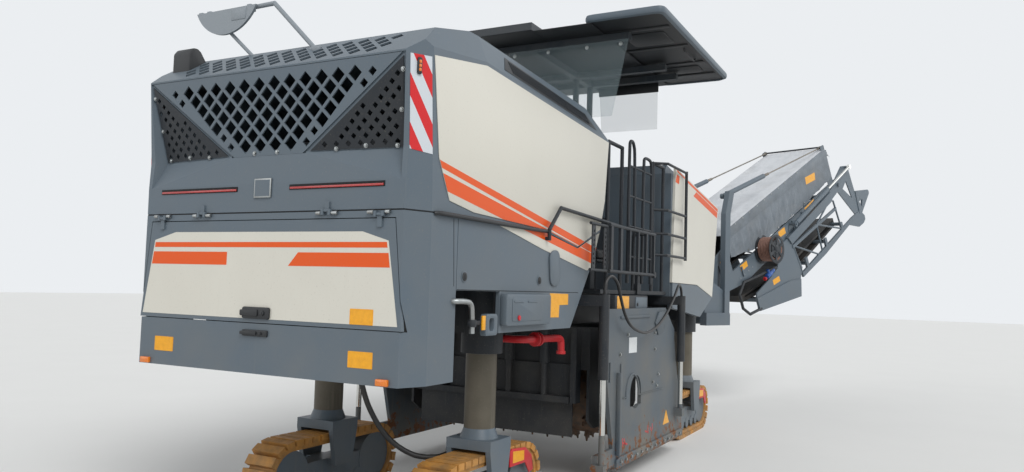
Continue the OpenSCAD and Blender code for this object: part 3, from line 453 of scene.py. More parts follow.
def disc(radius, depth, matrix, sides=32, edge=0.0, tip=None):
    """A round bar, washer or cone that stands on its place and points along its z."""
    bpy.ops.object.select_all(action="DESELECT")
    bpy.ops.mesh.primitive_cone_add(vertices=sides, radius1=radius, radius2=radius if tip is None else tip,
                                    depth=depth, location=(0, 0, depth / 2))
    piece = bpy.context.object
    bpy.ops.object.transform_apply(location=True, rotation=True, scale=True)
    if edge:
        soften(piece, edge)
    place_at(piece, matrix)
    return piece


# %% Tubes, and pieces joined or copied
def hose(points, radius, round_steps=3, smooth=True):
    """A tube that follows the points, rounded at its bends."""
    curve = bpy.data.curves.new("tube", "CURVE")
    curve.dimensions = "3D"
    curve.bevel_depth, curve.bevel_resolution = radius, round_steps
    curve.use_fill_caps = True
    curve.resolution_u = 6
    spline = curve.splines.new("NURBS" if smooth else "POLY")
    spline.points.add(len(points) - 1)
    for point, place in zip(spline.points, points):
        point.co = (*place, 1)
    if smooth:
        spline.order_u, spline.use_endpoint_u = 3, True
    piece = bpy.data.objects.new("tube", curve)
    bpy.context.scene.collection.objects.link(piece)
    only(piece)
    bpy.ops.object.convert(target="MESH")
    return bpy.context.object


def together(pieces):
    """Joins the pieces into the first one."""
    only(*pieces)
    if len(pieces) > 1:
        bpy.ops.object.join()
    return pieces[0]


def copy_to(piece, matrices):
    """Copies of a model at each place, joined to one piece; the model itself goes."""
    made = []
    for matrix in matrices:
        twin = piece.copy()
        twin.data = piece.data.copy()
        bpy.context.scene.collection.objects.link(twin)
        place_at(twin, matrix)
        made.append(twin)
    bpy.data.objects.remove(piece)
    return together(made)


# %% Outlines and the planes they are drawn on
def round_corners(outline, r, steps=4):
    """The outline with its corners rounded to radius r."""
    out = []
    n = len(outline)
    for i in range(n):
        p, a, b = Vector(outline[i]), Vector(outline[i - 1]), Vector(outline[(i + 1) % n])
        one, two = (a - p).normalized(), (b - p).normalized()
        half = one.angle(two) / 2
        back = min(r / math.tan(half), (a - p).length * 0.45, (b - p).length * 0.45)
        start, end = p + one * back, p + two * back
        for k in range(steps + 1):
            t = k / steps
            out.append(tuple(start * (1 - t) ** 2 + p * 2 * t * (1 - t) + end * t * t))
    return out


def frame_of(origin, x_way, z_way):
    """A place whose x and z point along the given directions."""
    z = Vector(z_way).normalized()
    x = (Vector(x_way) - Vector(x_way).dot(z) * z).normalized()
    return Matrix.Translation(origin) @ Matrix((x, z.cross(x), z)).transposed().to_4x4()


def on_right(y):
    """Drawings in (x, z) on a face that looks to the machine's right."""
    return frame_of((0, y, 0), (1, 0, 0), (0, -1, 0))


def on_left(y):
    """The same for the left side: x is drawn with its sign turned."""
    return frame_of((0, y, 0), (-1, 0, 0), (0, 1, 0))


def on_rear(x):
    """Drawings in (-y, z) on a face that looks to the rear."""
    return frame_of((x, 0, 0), (0, -1, 0), (-1, 0, 0))


def rect(x0, x1, y0, y1):
    """The outline of a rectangle between two corners."""
    return [(x0, y0), (x1, y0), (x1, y1), (x0, y1)]


def as_drawn(outline):
    return outline


def turned(outline):
    """The outline as the other side of the machine needs it."""
    return [(-x, z) for x, z in reversed(outline)]


rear_at = -4.1      # rear face of the body
body_side = 1.25    # half the body's width
plate_side = 1.33   # outer face of a side plate
# one row for each side: its word, its sign, the plane to draw on and the outline's turn
both_sides = (("right", 1, on_right, as_drawn), ("left", -1, on_left, turned))


def from_rear(outline):
    """Points measured from the rear face, moved to the drum axis."""
    return [(x + rear_at, z) for x, z in outline]


def bolt_model(radius=0.012, height=0.007, dome=True):
    """A bolt head on its washer, pointing up from the ground."""
    washer = disc(radius * 1.35, height * 0.3, Matrix(), 20)
    head = disc(radius, height, Matrix.Translation((0, 0, height * 0.3)), 20 if dome else 6,
                edge=height * 0.45 if dome else height * 0.15)
    return together([washer, head])


print("helpers ready")

# %% [markdown]
# Signs are adhesive film, with nothing printed on them here. The red and white bands at
# the rear corners are reflective film, whose fine grain is drawn coarser than it is.

# %% Films, seals, and black for joints and painted slot shade
sign_yellow = matte_stuff("yellow sign film", "#f3ab0c", "#e39c08", 30, 0.35, 0.02, 0.12)
white_film = matte_stuff("white label film", "#dfe2e3", "#d2d6d8", 30, 0.35, 0.02, 0.12)
warning_white = matte_stuff("white reflective film", "#d3d8dd", "#c6ccd2", 260, 0.3, 0.04, 0.1)
warning_red = matte_stuff("red reflective film", "#d81d22", "#c2171c", 260, 0.3, 0.04, 0.1)
blue_plastic = matte_stuff("blue coupling plastic", "#1f62bb", "#184f99", 60, 0.4, 0.05, 0.2)
gasket = matte_stuff("black seal rubber", "#101113", "#191a1c", 50, 0.7, 0.1)
# black for the door joints, and painted shade where a slot or hole would look dark inside
joint_black_and_slot_shade = matte_stuff("black joint and painted slot shade", "#08090a", "#0d0e10", 40, 0.85, 0.02)

# %% [markdown]
# ## Rear face
# The flap is blue-grey sheet with a cream field, two orange stripes, a paddle latch
# and a plain yellow sign. Above it the hood carries two long red lamps and a bare square.

# %% Flap: cream field, stripes and latch
def rear_plate(outline, thick, x=rear_at, edge=0.0):
    """Outline in (y, z), laid on the rear face."""
    return cut_sheet([(-y, z) for y, z in outline], thick, on_rear(x), edge)


cream_field = [(0.855, 2.269), (-0.864, 2.263), (-1.069, 2.204), (-1.158, 1.672), (1.166, 1.672),
               (1.073, 2.212)]
keep(rear_plate(cream_field, 0.0015), "flap_cream_field", cream_enamel, "rear_flap")
stripes = [rear_plate(o, 0.001, rear_at - 0.0015) for o in (
    [(1.066, 2.196), (-1.057, 2.196), (-1.063, 2.160), (1.071, 2.160)],
    [(1.079, 2.127), (0.322, 2.127), (0.322, 2.036), (1.094, 2.036)],
    [(-0.333, 2.127), (-1.072, 2.127), (-1.086, 2.036), (-0.250, 2.036)])]
keep(together(stripes), "flap_stripes", orange_enamel, "rear_flap")


def paddle_latch(width, height, matrix):
    """A sunk paddle latch with a key lock at one end."""
    w, h = width / 2, height / 2
    shell = cut_sheet(round_corners(rect(-w, w, -h, h), h * 0.45), 0.016, edge=0.005)
    lever = cut_sheet(round_corners([(-w - 0.012, -h * 0.5), (w * 0.2, -h * 0.6), (w * 0.2, h * 0.6),
                                     (-w - 0.012, h * 0.5)], h * 0.3), 0.012,
                      Matrix.Translation((0, 0, 0.014)), edge=0.004)
    lock = disc(h * 0.42, 0.012, Matrix.Translation((w * 0.55, 0, 0.014)), 24, edge=0.002)
    key = block(w * 0.55 - 0.003, w * 0.55 + 0.003, -h * 0.2, h * 0.2, 0.024, 0.029, 0.001)
    latch = together([shell, lever, lock, key])
    place_at(latch, matrix)
    return latch


latch = keep(paddle_latch(0.25, 0.08, on_rear(rear_at - 0.0015) @ Matrix.Translation((-0.012, 1.712, 0))),
             "flap_paddle_latch", black_plastic, "rear_flap")
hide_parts("flap_handle")
keep(paddle_latch(0.23, 0.044, on_rear(rear_at) @ Matrix.Translation((-0.015, 1.575, 0))),
     "skirt_paddle_latch", black_plastic, "chassis")
print("flap dressed")


# %% [markdown]
# Adhesive signs have rounded corners and a raised rim, and are two thin sheets here. The
# amber corner lamps are shallow lenses with soft edges.

# %% Yellow signs, left blank
def sign(width, height, matrix):
    """A bare adhesive sign with rounded corners and a faint raised rim."""
    w, h = width / 2, height / 2
    film = cut_sheet(round_corners(rect(-w, w, -h, h), 0.006), 0.0015)
    rim = cut_sheet(round_corners(rect(-w + 0.004, w - 0.004, -h + 0.004, h - 0.004), 0.004), 0.0022,
                    holes=[rect(-w + 0.007, w - 0.007, -h + 0.007, h - 0.007)])
    made = together([film, rim])
    place_at(made, matrix)
    return made


keep(sign(0.185, 0.1, on_rear(rear_at - 0.0015) @ Matrix.Translation((0.881, 1.722, 0))),
     "flap_sign", sign_yellow, "rear_flap")
keep(together([sign(0.195, 0.104, on_rear(rear_at) @ Matrix.Translation((x, 1.453, 0)))
               for x in (-0.917, 0.883)]), "skirt_signs", sign_yellow, "chassis")

# %% Amber corner lamps
lamps = []
for y in (1.095, -1.067):
    lamps.append(cut_sheet(round_corners(rect(-y - 0.046, -y + 0.046, 1.305, 1.348), 0.008), 0.024,
                           on_rear(rear_at), edge=0.006))
piece = keep(together(lamps), "corner_lamps", amber_lens, "chassis")
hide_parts("marker_lamps")

# %% [markdown]
# The flap hangs from short sleeves on one axis. Under the grilles lie two long red lamps,
# each in a slot whose dark recess is painted shade on a flat black strip, and a bare square
# with a bright rim where a badge would sit.

# %% Hinge sleeves across the rear face
sleeves = []
for y0, y1 in ((1.036, 1.074), (0.907, 0.944), (0.626, 0.665), (0.489, 0.534), (-0.486, -0.524),
               (-0.616, -0.663), (-0.907, -0.954), (-1.046, -1.081)):
    low = min(y0, y1)
    sleeves.append(disc(0.0125, abs(y1 - y0), frame_of((rear_at - 0.014, low, 2.385), (1, 0, 0), (0, 1, 0)),
                        20, edge=0.002))
keep(together(sleeves), "hinge_sleeves", zinc_plate, "chassis")

# %% Red lights with painted shade in each slot, and the bare square
slot_shades, lenses = [], []
for y0, y1 in ((1.028, 0.251), (-0.230, -1.024)):
    # each slot is a flat black strip: painted shade where the recess would be dark
    slot_shades.append(rear_plate(rect(y0, y1, 2.548, 2.584), 0.004, edge=0.001))
    lenses.append(rear_plate(rect(y0 - 0.008, y1 + 0.008, 2.553, 2.568), 0.006, rear_at - 0.003, edge=0.002))
keep(together(slot_shades), "light_slot_painted_shade", joint_black_and_slot_shade, "hood")
keep(together(lenses), "light_slot_lenses", red_lens, "hood")
badge = rear_plate(rect(0.086, -0.070, 2.500, 2.634), 0.012, edge=0.003)
keep(badge, "blank_square_rim", zinc_plate, "hood")
face = rear_plate(rect(0.074, -0.058, 2.511, 2.623), 0.003, rear_at - 0.0115)
keep(face, "blank_square_face", body_enamel, "hood")
print("rear face dressed")

# %% [markdown]
# The sheet-metal V in the rear of the hood is held with round white bolts, and two
# recessed grilles sit beside it. Their corner points are those of the CAD model.

# %% Bolts round the grilles
v_foot, v_top, deep = Vector((-4.085, 0.345, 2.795)), Vector((-4.138, 1.172, 3.388)), Vector((-4.005,
                                                                                              1.110, 2.795))
out = (v_top - v_foot).cross(deep - v_foot).normalized()
middle = (v_foot + v_top + deep) / 3
spots = []
for a, b, shares in ((v_foot, deep, (0.28, 0.6, 0.95)), (deep, v_top, (0.42, 0.86))):
    for share in shares:
        spot = a.lerp(b, share)
        spot = spot + (middle - spot).normalized() * 0.034
        for flip in (1, -1):
            spots.append(frame_of((spot.x, spot.y * flip, spot.z), (0, 0, 1), (out.x, out.y * flip, out.z)))
for y in (0.12, -0.09):
    spots.append(frame_of((-4.087, y, 2.815), (0, 0, 1), (-1, 0, -0.09)))
keep(copy_to(bolt_model(0.012, 0.009), spots), "grille_bolts", zinc_plate, "hood")


# %% [markdown]
# The rear corners carry plates with slanted red and white bands. The bands are real cut
# pieces and not a painted pattern, so they stay sharp however near the camera comes: the
# plate's outline is clipped to each band in turn.

# %% A plate cut into bands
def striped_plate(outline, turn, period, share, shift, thick, matrix, names, body):
    """A plate whose slanted bands are cut out of it and split into two finishes."""
    way = Vector((math.cos(turn), math.sin(turn)))
    cross = Vector((-way.y, way.x))
    lo = min(Vector(p).dot(cross) for p in outline)
    hi = max(Vector(p).dot(cross) for p in outline)
    groups = ([], [])
    k = math.floor((lo - shift) / period) - 1
    while shift + k * period < hi:
        for which, (a, b) in enumerate(((0, share), (share, 1))):
            strip = [Vector(p) for p in outline]
            for limit, sign_ in ((shift + (k + a) * period, 1), (shift + (k + b) * period, -1)):
                cut = []
                for i, p in enumerate(strip):
                    q = strip[(i + 1) % len(strip)]
                    dp, dq = (p.dot(cross) - limit) * sign_, (q.dot(cross) - limit) * sign_
                    if dp >= 0:
                        cut.append(p)
                    if dp * dq < 0:
                        cut.append(p.lerp(q, dp / (dp - dq)))
                strip = cut
                if len(strip) < 3:
                    break
            if len(strip) >= 3:
                groups[which].append(cut_sheet([tuple(p) for p in strip], thick, matrix))
        k += 1
    for group, name, finish in zip(groups, names, (warning_red, warning_white)):
        keep(together(group), name, finish, body)


# %% Red and white corner plates with their marker lamps
corner_start = Vector((-4.1, -1.175, 2.405))
along = Vector((200, -75, 0)).normalized()
facing = Vector((-74625, -199000, -3000)).normalized()
corner_right = frame_of(corner_start, along, facing)
corner_left = frame_of((corner_start.x, -corner_start.y, corner_start.z), (-along.x, along.y, 0),
                       (facing.x, -facing.y, facing.z))
plate_out = [(0.020, 0.376), (0.197, 0.362), (0.160, 0.985), (-0.006, 0.975)]
striped_plate(plate_out, math.radians(-58), 0.152, 0.47, 0.075, 0.003, corner_right,
              ("warning_red_right", "warning_white_right"), "hood")
striped_plate(turned(plate_out), math.radians(58), 0.152, 0.47, 0.02, 0.003, corner_left,
              ("warning_red_left", "warning_white_left"), "hood")
housings, lens = [], []
for matrix, sx in ((corner_right, 1), (corner_left, -1)):
    at = Matrix.Translation((0.062 * sx, 0.905, 0.003))
    housings.append(cut_sheet(round_corners(rect(-0.017, 0.017, -0.055, 0.055),
                                            0.015), 0.014, matrix @ at, edge=0.004))
    for v in (-0.026, 0.0, 0.026):
        lens.append(cut_sheet(round_corners(rect(-0.009, 0.009, v - 0.010, v + 0.010), 0.004), 0.004,
                              matrix @ at @ Matrix.Translation((0, 0, 0.013)), edge=0.001))
keep(together(housings), "corner_marker_housings", black_plastic, "hood")
keep(together(lens), "corner_marker_lenses", amber_lens, "hood")
print("corner plates dressed")

# %% [markdown]
# ## Sides
# The hood's sides wear a cream panel that runs down to the seam and goes on over the
# wedge of the lower shell. A thin and a thick orange stripe slope across both.

# %% Cream panels and stripes
hood_cream = from_rear([(0.165, 3.405), (0.837, 3.512), (3.268, 3.383), (3.195, 2.800), (3.090, 2.512),
                        (2.556, 2.322), (1.900, 2.418), (0.717, 2.446), (0.397, 2.493), (0.254, 2.760)])
wedge = from_rear([(1.101, 2.387), (1.900, 2.391), (2.550, 2.303), (2.575, 2.309), (3.075, 2.480),
                   (2.975, 2.300), (2.864, 2.126), (2.779, 2.114), (1.816, 2.258)])


def slope(x, top, drop=0.1505):
    """Height of a stripe's edge at x from the rear face."""
    return top - drop * (x - 0.25)


def clipped(outline, keep_side):
    """Keeps the part of the outline where keep_side(point) is positive."""
    out = []
    for i, p in enumerate(outline):
        q = outline[(i + 1) % len(outline)]
        dp, dq = keep_side(p), keep_side(q)
        if dp >= 0:
            out.append(p)
        if dp * dq < 0:
            t = dp / (dp - dq)
            out.append((p[0] + (q[0] - p[0]) * t, p[1] + (q[1] - p[1]) * t))
    return out


def stripe_on(field, top, width_left, width_right, drop):
    """The part of a field between a stripe's upper and lower edge."""
    upper = clipped(field, lambda p: slope(p[0] - rear_at, top, drop) - p[1])
    lower = lambda x: slope(x, top, drop) - (width_left + (width_right - width_left) * (x - 0.25) / 2.7)
    return clipped(upper, lambda p: p[1] - lower(p[0] - rear_at))


panels, wedge_panels = [], []
stripe_hood, stripe_wedge = [], []
for side, flip, base, draw in both_sides:
    face_y = -body_side * flip
    panels.append(cut_sheet(draw(hood_cream), 0.006, base(face_y), edge=0.002))
    wedge_panels.append(cut_sheet(draw(wedge), 0.006, base(face_y), edge=0.002))
    for top, left, right, drop in ((2.746, 0.044, 0.066, 0.151), (2.672, 0.104, 0.094, 0.150)):
        for field, where in ((hood_cream, stripe_hood), (wedge, stripe_wedge)):
            cut = stripe_on(field, top, left, right, drop)
            if len(cut) > 2:
                where.append(cut_sheet(draw(cut), 0.001, base(face_y - 0.006 * flip)))
piece = keep(together(panels), "hood_cream_panels", cream_enamel, "hood")
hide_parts("hood_panels")
keep(together(wedge_panels), "shell_cream_wedges", cream_enamel, "chassis")
keep(together(stripe_hood), "hood_stripes", orange_enamel, "hood")
keep(together(stripe_wedge), "shell_stripes", orange_enamel, "chassis")

# %% [markdown]
# The tank repeats the two stripes along its upper edge. A thin rubber seal closes the gap
# under the hood's rim.

# %% Tank stripes
tank_lines = [from_rear([(6.117, 3.398), (7.776, 3.183), (7.768, 3.141), (6.136, 3.364)]),
              from_rear([(6.572, 3.293), (7.752, 3.132), (7.736, 3.046), (6.430, 3.223)]),
              from_rear([(5.590, 3.300), (5.640, 3.405), (5.760, 3.392), (5.740, 3.292)]),
              from_rear([(5.648, 3.460), (5.652, 3.440), (5.990, 3.392), (6.000, 3.415)])]
bits = []
for side, flip, base, draw in both_sides:
    for line in tank_lines:
        bits.append(cut_sheet(draw(line), 0.001, base(-body_side * flip)))
keep(together(bits), "tank_stripes", orange_enamel, "chassis")

# %% Seal under the hood's rim
for name, flip in (("right", 1), ("left", -1)):
    line = [(-4.094, 0.0), (-4.094, -1.172), (-3.898, -1.2445), (-2.205, -1.2445)]
    keep(hose([(x, y * flip, 2.4) for x, y in line], 0.0046, 3, smooth=False), "rim_seal_" + name, gasket,
         "chassis",
         smooth=40)
print("sides striped")

# %% [markdown]
# Below the seam, the right side shows round locks, a door, a bent drain tube, a
# slotted bracket and the tool box with a red button. The left side is taken to match.

# %% Locks, door joints and shallow bump
locks, rings, joints, bumps = [], [], [], []
for side, flip, base, draw in both_sides:
    for x in (0.62, 1.79):
        at = base(-body_side * flip) @ Matrix.Translation(((x + rear_at) * flip, 2.0, 0))
        rings.append(disc(0.040, 0.004, at, 40, edge=0.0015))
        locks.append(disc(0.030, 0.008, at @ Matrix.Translation((0, 0, 0.001)), 32, edge=0.003))
        locks.append(block(-0.004, 0.004, -0.018, 0.018, 0.008, 0.013, 0.001, at))
    for line in ([(0.462, 2.383), (0.466, 2.383), (0.494, 1.932), (0.490, 1.932)],
                 rect(0.530, 2.600, 1.912, 1.907),
                 [(1.046, 1.900), (1.050, 1.900), (1.056, 1.650), (1.052, 1.650)]):
        joints.append(cut_sheet(draw(from_rear(line)), 0.0012, base(-body_side * flip)))
    dome = cut_sheet(round_corners(rect(-0.10, 0.10, -0.15, 0.15), 0.1, 8), 0.018,
                     edge=0.014)
    place_at(dome, base(-body_side * flip) @ Matrix.Translation(((2.07 + rear_at) * flip, 2.11, 0)) @
             Matrix.Rotation(0.12 * flip, 4, "Z"))
    bumps.append(dome)
keep(together(rings), "door_lock_rings", body_enamel, "chassis")
keep(together(locks), "door_locks", black_plastic, "chassis")
keep(together(joints), "door_joints", joint_black_and_slot_shade, "chassis")
keep(together(bumps), "side_bumps", body_enamel, "chassis")


# %% [markdown]
# The tool boxes are pressed lids with a raised field and two ribs, so they are three
# bevelled sheets on each other, a red button and an angled blank sign beside them.

# %% Tool boxes with ribs and button
boxes, buttons, signs = [], [], []
for side, flip, base, draw in both_sides:
    at = base(-body_side * flip) @ Matrix.Translation(((1.525 + rear_at) * flip, 1.77, 0))
    boxes.append(cut_sheet(round_corners(rect(-0.385, 0.385, -0.12, 0.12), 0.03),
                           0.06, at, edge=0.012))
    boxes.append(cut_sheet(round_corners(rect(-0.30, 0.21, -0.085, 0.09), 0.02),
                           0.006, at @ Matrix.Translation((0, 0, 0.059)), edge=0.003))
    for u in (-0.2, 0.03):
        boxes.append(cut_sheet(round_corners(rect(u - 0.08, u + 0.08, 0.055, 0.07),
                                             0.006), 0.006, at @ Matrix.Translation((0, 0, 0.064)),
                               edge=0.002))
    buttons.append(disc(0.02, 0.012, at @ Matrix.Translation((-0.2 * flip, -0.06, 0.064)), 24, edge=0.004))
    sign_line = from_rear([(2.007, 1.899), (2.007, 1.699), (2.190, 1.696), (2.200, 1.800), (2.380, 1.803),
                           (2.380, 1.896)])
    signs.append(cut_sheet(draw(sign_line), 0.0015, base(-body_side * flip)))
piece = keep(together(boxes), "ribbed_tool_boxes", body_enamel, "chassis")
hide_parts("tool_boxes")
keep(together(buttons), "tool_box_buttons", red_enamel, "chassis")
keep(together(signs), "side_signs", sign_yellow, "chassis")
print("lower sides dressed")

# %% [markdown]
# ## Discharge conveyor
# The first part of the conveyor wears a white coated tarpaulin over hoops, clamped by a
# grey strip, with loose grey canvas below it. The cloths are thin sheets with sag and folds.

# %% Places along the conveyor
def turn_about(axis, degrees):
    return Matrix.Rotation(math.radians(degrees), 4, axis)


pitch_at = (Matrix.Translation((4.1, 0, 0)) @ turn_about("Z", -20) @ Matrix.Translation((0.7, 0, 2.05)) @
            turn_about("Y", -28.5))
tip_at = pitch_at @ Matrix.Translation((4.98, 0, 0))


def cloth_grid(name, across, along, place, thick=0.003):
    """A sheet whose points come from place(s, t), with s and t from 0 to 1."""
    bpy.ops.object.select_all(action="DESELECT")
    bpy.ops.mesh.primitive_grid_add(x_subdivisions=across, y_subdivisions=along, size=1)
    piece = bpy.context.object
    for vertex in piece.data.vertices:
        vertex.co = place(vertex.co.x + 0.5, vertex.co.y + 0.5)
    only(piece)
    bpy.ops.object.mode_set(mode="EDIT")
    bpy.ops.mesh.select_all(action="SELECT")
    bpy.ops.mesh.normals_make_consistent(inside=False)
    bpy.ops.object.mode_set(mode="OBJECT")
    shape(piece, "SOLIDIFY", thickness=thick, offset=0)
    piece.name = name
    return piece


def wave(value, seed):
    """Soft noise from -1 to 1 along one line."""
    return (math.sin(value * 7.1 + seed) + math.sin(value * 17.3 + seed * 2.7) * 0.6 +
            math.sin(value * 31.7 + seed * 5.1) * 0.35) / 1.95


# %% [markdown]
# The white sheet is pulled over nine hoops and drops to the frame at its end. It is a
# fine grid whose points are set by a formula: a shallow sag between two hoops, a slight
# crown across and small ripples. A cloth simulation would stretch it unevenly for no gain.

# %% White sheet over the hoops
hoops = (1.07, 1.56, 2.07, 2.60, 3.12, 3.62, 4.12, 4.50, 4.82)
top_path = [(0.922, 0.452), (1.07, 0.532), (4.82, 0.532), (4.965, 0.322)]


def top_point(s, t):
    lengths = [math.dist(a, b) for a, b in zip(top_path, top_path[1:])]
    run = t * sum(lengths)
    for (a, b), long in zip(zip(top_path, top_path[1:]), lengths):
        if run <= long or b == top_path[-1]:
            u, v = (a[0] + (b[0] - a[0]) * run / long, a[1] + (b[1] - a[1]) * run / long)
            break
        run -= long
    lat = (s - 0.5) * 2
    over = max(0.0, abs(lat) - 0.955) / 0.045
    edge_drop = over * 0.040
    y = math.copysign(min(abs(lat) / 0.955, 1.0) * 0.617, lat)
    sag = 0.0
    for a, b in zip(hoops, hoops[1:]):
        if a < u < b:
            sag = math.sin((u - a) / (b - a) * math.pi)
    belly = (1 - min(abs(lat) / 0.955, 1) ** 4)
    ripple = wave(u * 1.3 + lat * 0.8, 0.4) * 0.006 * belly + wave(lat * 2.2 - u * 0.9,
                                                                   2.1) * 0.005 * belly * sag
    crown = 0.012 * belly
    return Vector((u, y, v - sag * 0.020 * belly + ripple * 0.6 + crown - edge_drop))


piece = cloth_grid("cover_white_sheet", 56, 170, top_point)
place_at(piece, pitch_at)
keep(piece, "cover_white_sheet", white_tarpaulin, "conveyor", smooth=60)
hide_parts("base_cover")

# %% [markdown]
# The grey canvases hang below the clamp strip and are pulled in at their ties, with a fan
# of folds at each. Towards the fold's hinge they lie flat, because the lever of the front
# section passes there when the conveyor unfolds.

# %% Loose side canvases
ties = (0.95, 1.45, 1.98, 2.52, 3.05, 3.6, 4.15, 4.70)


def canvas_point(s, t, side):
    u = 0.935 + 3.935 * s
    top = 0.470 - 0.012 * s
    low = 0.06 - 0.20 * min(1, max(0, (u - 0.95) / 0.75)) + 0.05 * max(0, (u - 3.4) / 1.4)
    v = top + (low - top) * t
    pull = 0.0
    for k, tie in enumerate(ties):
        away = (u - tie - (t - 1) * 0.12 * (1 if k % 2 else -1)) / (0.05 + 0.16 * t)
        pull += math.exp(-away * away) * (0.5 + 0.5 * t)
    fan = math.sin(u * 19 + t * 5.5 + wave(u * 1.7, 1.3) * 2.4) * 0.5 + wave(u * 2.3 + t * 1.6, 4.2) * 0.7
    free = max(0, t - 0.2) / 0.8
    loose = min(1, max(0, (3.62 - u) / 0.35))
    bulge = math.sin(min(1, free * 1.15) * math.pi) * 0.024 + 0.012 * free
    out = 0.6166 + (bulge * (0.55 + 0.45 * fan) + 0.008 * pull * free) * loose
    return Vector((u, side * max(out, 0.6165), v + 0.012 * wave(u * 1.9, 3.3) * t))


for name, flip in (("right", -1), ("left", 1)):
    piece = cloth_grid("canvas", 190, 22, lambda s, t: canvas_point(s, t, flip))
    place_at(piece, pitch_at)
    keep(piece, "cover_canvas_" + name, grey_tarpaulin, "conveyor", smooth=60)

# %% Clamp strips, their bolts and the end bar
strips, bolt_spots, eyelets = [], [], []
strip_line = [(0.975, 0.355), (1.062, 0.525), (4.826, 0.525), (4.905, 0.420), (4.85, 0.318), (4.67, 0.315)]
for side, flip, base, draw in both_sides:
    at = pitch_at @ base(-0.6182 * flip)
    strips.append(cut_sheet(draw(strip_line), 0.0034, at, edge=0.001))
    for u in (1.12, 1.30, 1.56, 1.80, 2.07, 2.33, 2.60, 2.87, 3.12, 3.38, 3.62):
        bolt_spots.append(at @ Matrix.Translation((u * flip, 0.502, 0.0034)))
    for u in ties[1:-2]:
        low = 0.06 - 0.20 * min(1, max(0, (u - 0.95) / 0.75)) + 0.05 * max(0, (u - 3.4) / 1.4)
        eyelets.append(at @ Matrix.Translation((u * flip, low + 0.03, 0.019)))
keep(together(strips), "cover_clamp_strips", grey_tarpaulin, "conveyor")
keep(copy_to(bolt_model(0.011, 0.008), bolt_spots), "cover_bolts", zinc_plate, "conveyor")
ring = disc(0.018, 0.004, Matrix(), 24, edge=0.001)
keep(copy_to(ring, eyelets), "canvas_eyelets", zinc_plate, "conveyor")
bar = hose([(4.825, -0.612, 0.562), (4.825, 0.612, 0.562)], 0.016, smooth=False)
bar2 = hose([(4.905, -0.61, 0.46), (4.905, 0.61, 0.46)], 0.010, smooth=False)
feet = [block(4.80, 4.85, s * 0.609 - 0.006, s * 0.609 + 0.006, 0.50, 0.585, 0.003) for s in (-1, 1)]
made = together([bar, bar2] + feet)
place_at(made, pitch_at)
keep(made, "cover_end_bar", dark_enamel, "conveyor", smooth=40)
print("tarpaulins made")


# %% [markdown]
# The reel has two flanges with cut windows, a drum and an axle, and two layers of
# reddish-brown hose. The hose is one helix for each layer.

# %% Hose reel with its wound hose
def wheel(radius, hub, spokes, thick):
    """A flat reel flange whose windows leave spokes."""
    ring_cut = []
    for k in range(spokes):
        a0 = 2 * math.pi * (k + 0.16) / spokes
        a1 = 2 * math.pi * (k + 0.84) / spokes
        inner, outer = hub * 1.5, radius * 0.80
        arc = [(outer * math.cos(a0 + (a1 - a0) * i / 8),
                outer * math.sin(a0 + (a1 - a0) * i / 8)) for i in range(9)]
        back = [(inner * math.cos(a1 + (a0 - a1) * i / 4),
                 inner * math.sin(a1 + (a0 - a1) * i / 4)) for i in range(5)]
        ring_cut.append(arc + back)
    rim = [(radius * math.cos(2 * math.pi * i / 72),
            radius * math.sin(2 * math.pi * i / 72)) for i in range(72)]
    return cut_sheet(rim, thick, edge=0.002, holes=ring_cut)


reel_at = pitch_at @ frame_of((1.88, -0.90, -0.24), (1, 0, 0), (0, 1, 0))
flanges = [wheel(0.25, 0.05, 6, 0.008)]
flanges.append(wheel(0.25, 0.05, 6, 0.008))
place_at(flanges[1], Matrix.Translation((0, 0, 0.264)))
flanges.append(disc(0.155, 0.256, Matrix.Translation((0, 0, 0.008)), 48, edge=0.002))
flanges.append(disc(0.045, 0.296, Matrix.Translation((0, 0, -0.006)), 32, edge=0.003))
reel = together(flanges)
place_at(reel, reel_at)
keep(reel, "reel_frame", dark_enamel, "conveyor")
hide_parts("hose_reel")
turns, steps = 8, 36
wound = []
for r in (0.172, 0.197):
    points = [(r * math.cos(2 * math.pi * i / steps), r * math.sin(2 * math.pi * i / steps),
               0.024 + 0.0285 * i / steps) for i in range(turns * steps + 1)]
    wound.append(hose(points, 0.0135, 3, smooth=False))
spare = together(wound)
place_at(spare, reel_at)
keep(spare, "wound_hose", hose_rubber, "conveyor", smooth=60)
print("reel made")

# %% [markdown]
# The side frames of the conveyor carry blank signs, round reflectors, ribs that stiffen
# the sheet and a row of rivets. One rivet is modelled and then copied; each rib is a block of its own.

# %% Signs, reflectors, and painted shade for each slot on the conveyor
side_at = pitch_at @ on_right(-0.6105)
yellow = [cut_sheet(o, 0.0015, pitch_at @ on_right(y)) for o, y in (
    ([(3.60, -0.20), (3.60, -0.32), (4.00, -0.30), (4.00, -0.185)], -0.6105),
    ([(2.52, -0.205), (2.52, -0.315), (2.76, -0.33), (2.76, -0.21)], -0.6105),
    ([(1.130, -0.195), (1.350, -0.20), (1.350, -0.30), (1.130, -0.295)], -0.6105),
    ([(0.62, 0.02), (0.76, 0.045), (0.76, 0.15), (0.62, 0.13)], -0.6105))]
keep(together(yellow), "conveyor_signs", sign_yellow, "conveyor")
# each slot is a flat black sheet: painted shade where the hole would look dark
conveyor_slot_shades = []
for u, v0, v1 in ((0.55, -0.08, 0.09), (0.80, -0.06, 0.11)):
    conveyor_slot_shades.append(cut_sheet(round_corners(rect(u - 0.014, u + 0.014, v0, v1),
                                              0.013), 0.0015, side_at))
keep(together(conveyor_slot_shades), "conveyor_slot_painted_shade", joint_black_and_slot_shade, "conveyor")
reflectors = [disc(0.022, 0.006, side_at @ Matrix.Translation((u, v, 0)), 28, edge=0.002)
              for u, v in ((0.34, -0.25), (4.20, -0.36))]
keep(together(reflectors), "conveyor_reflectors", red_lens, "conveyor")

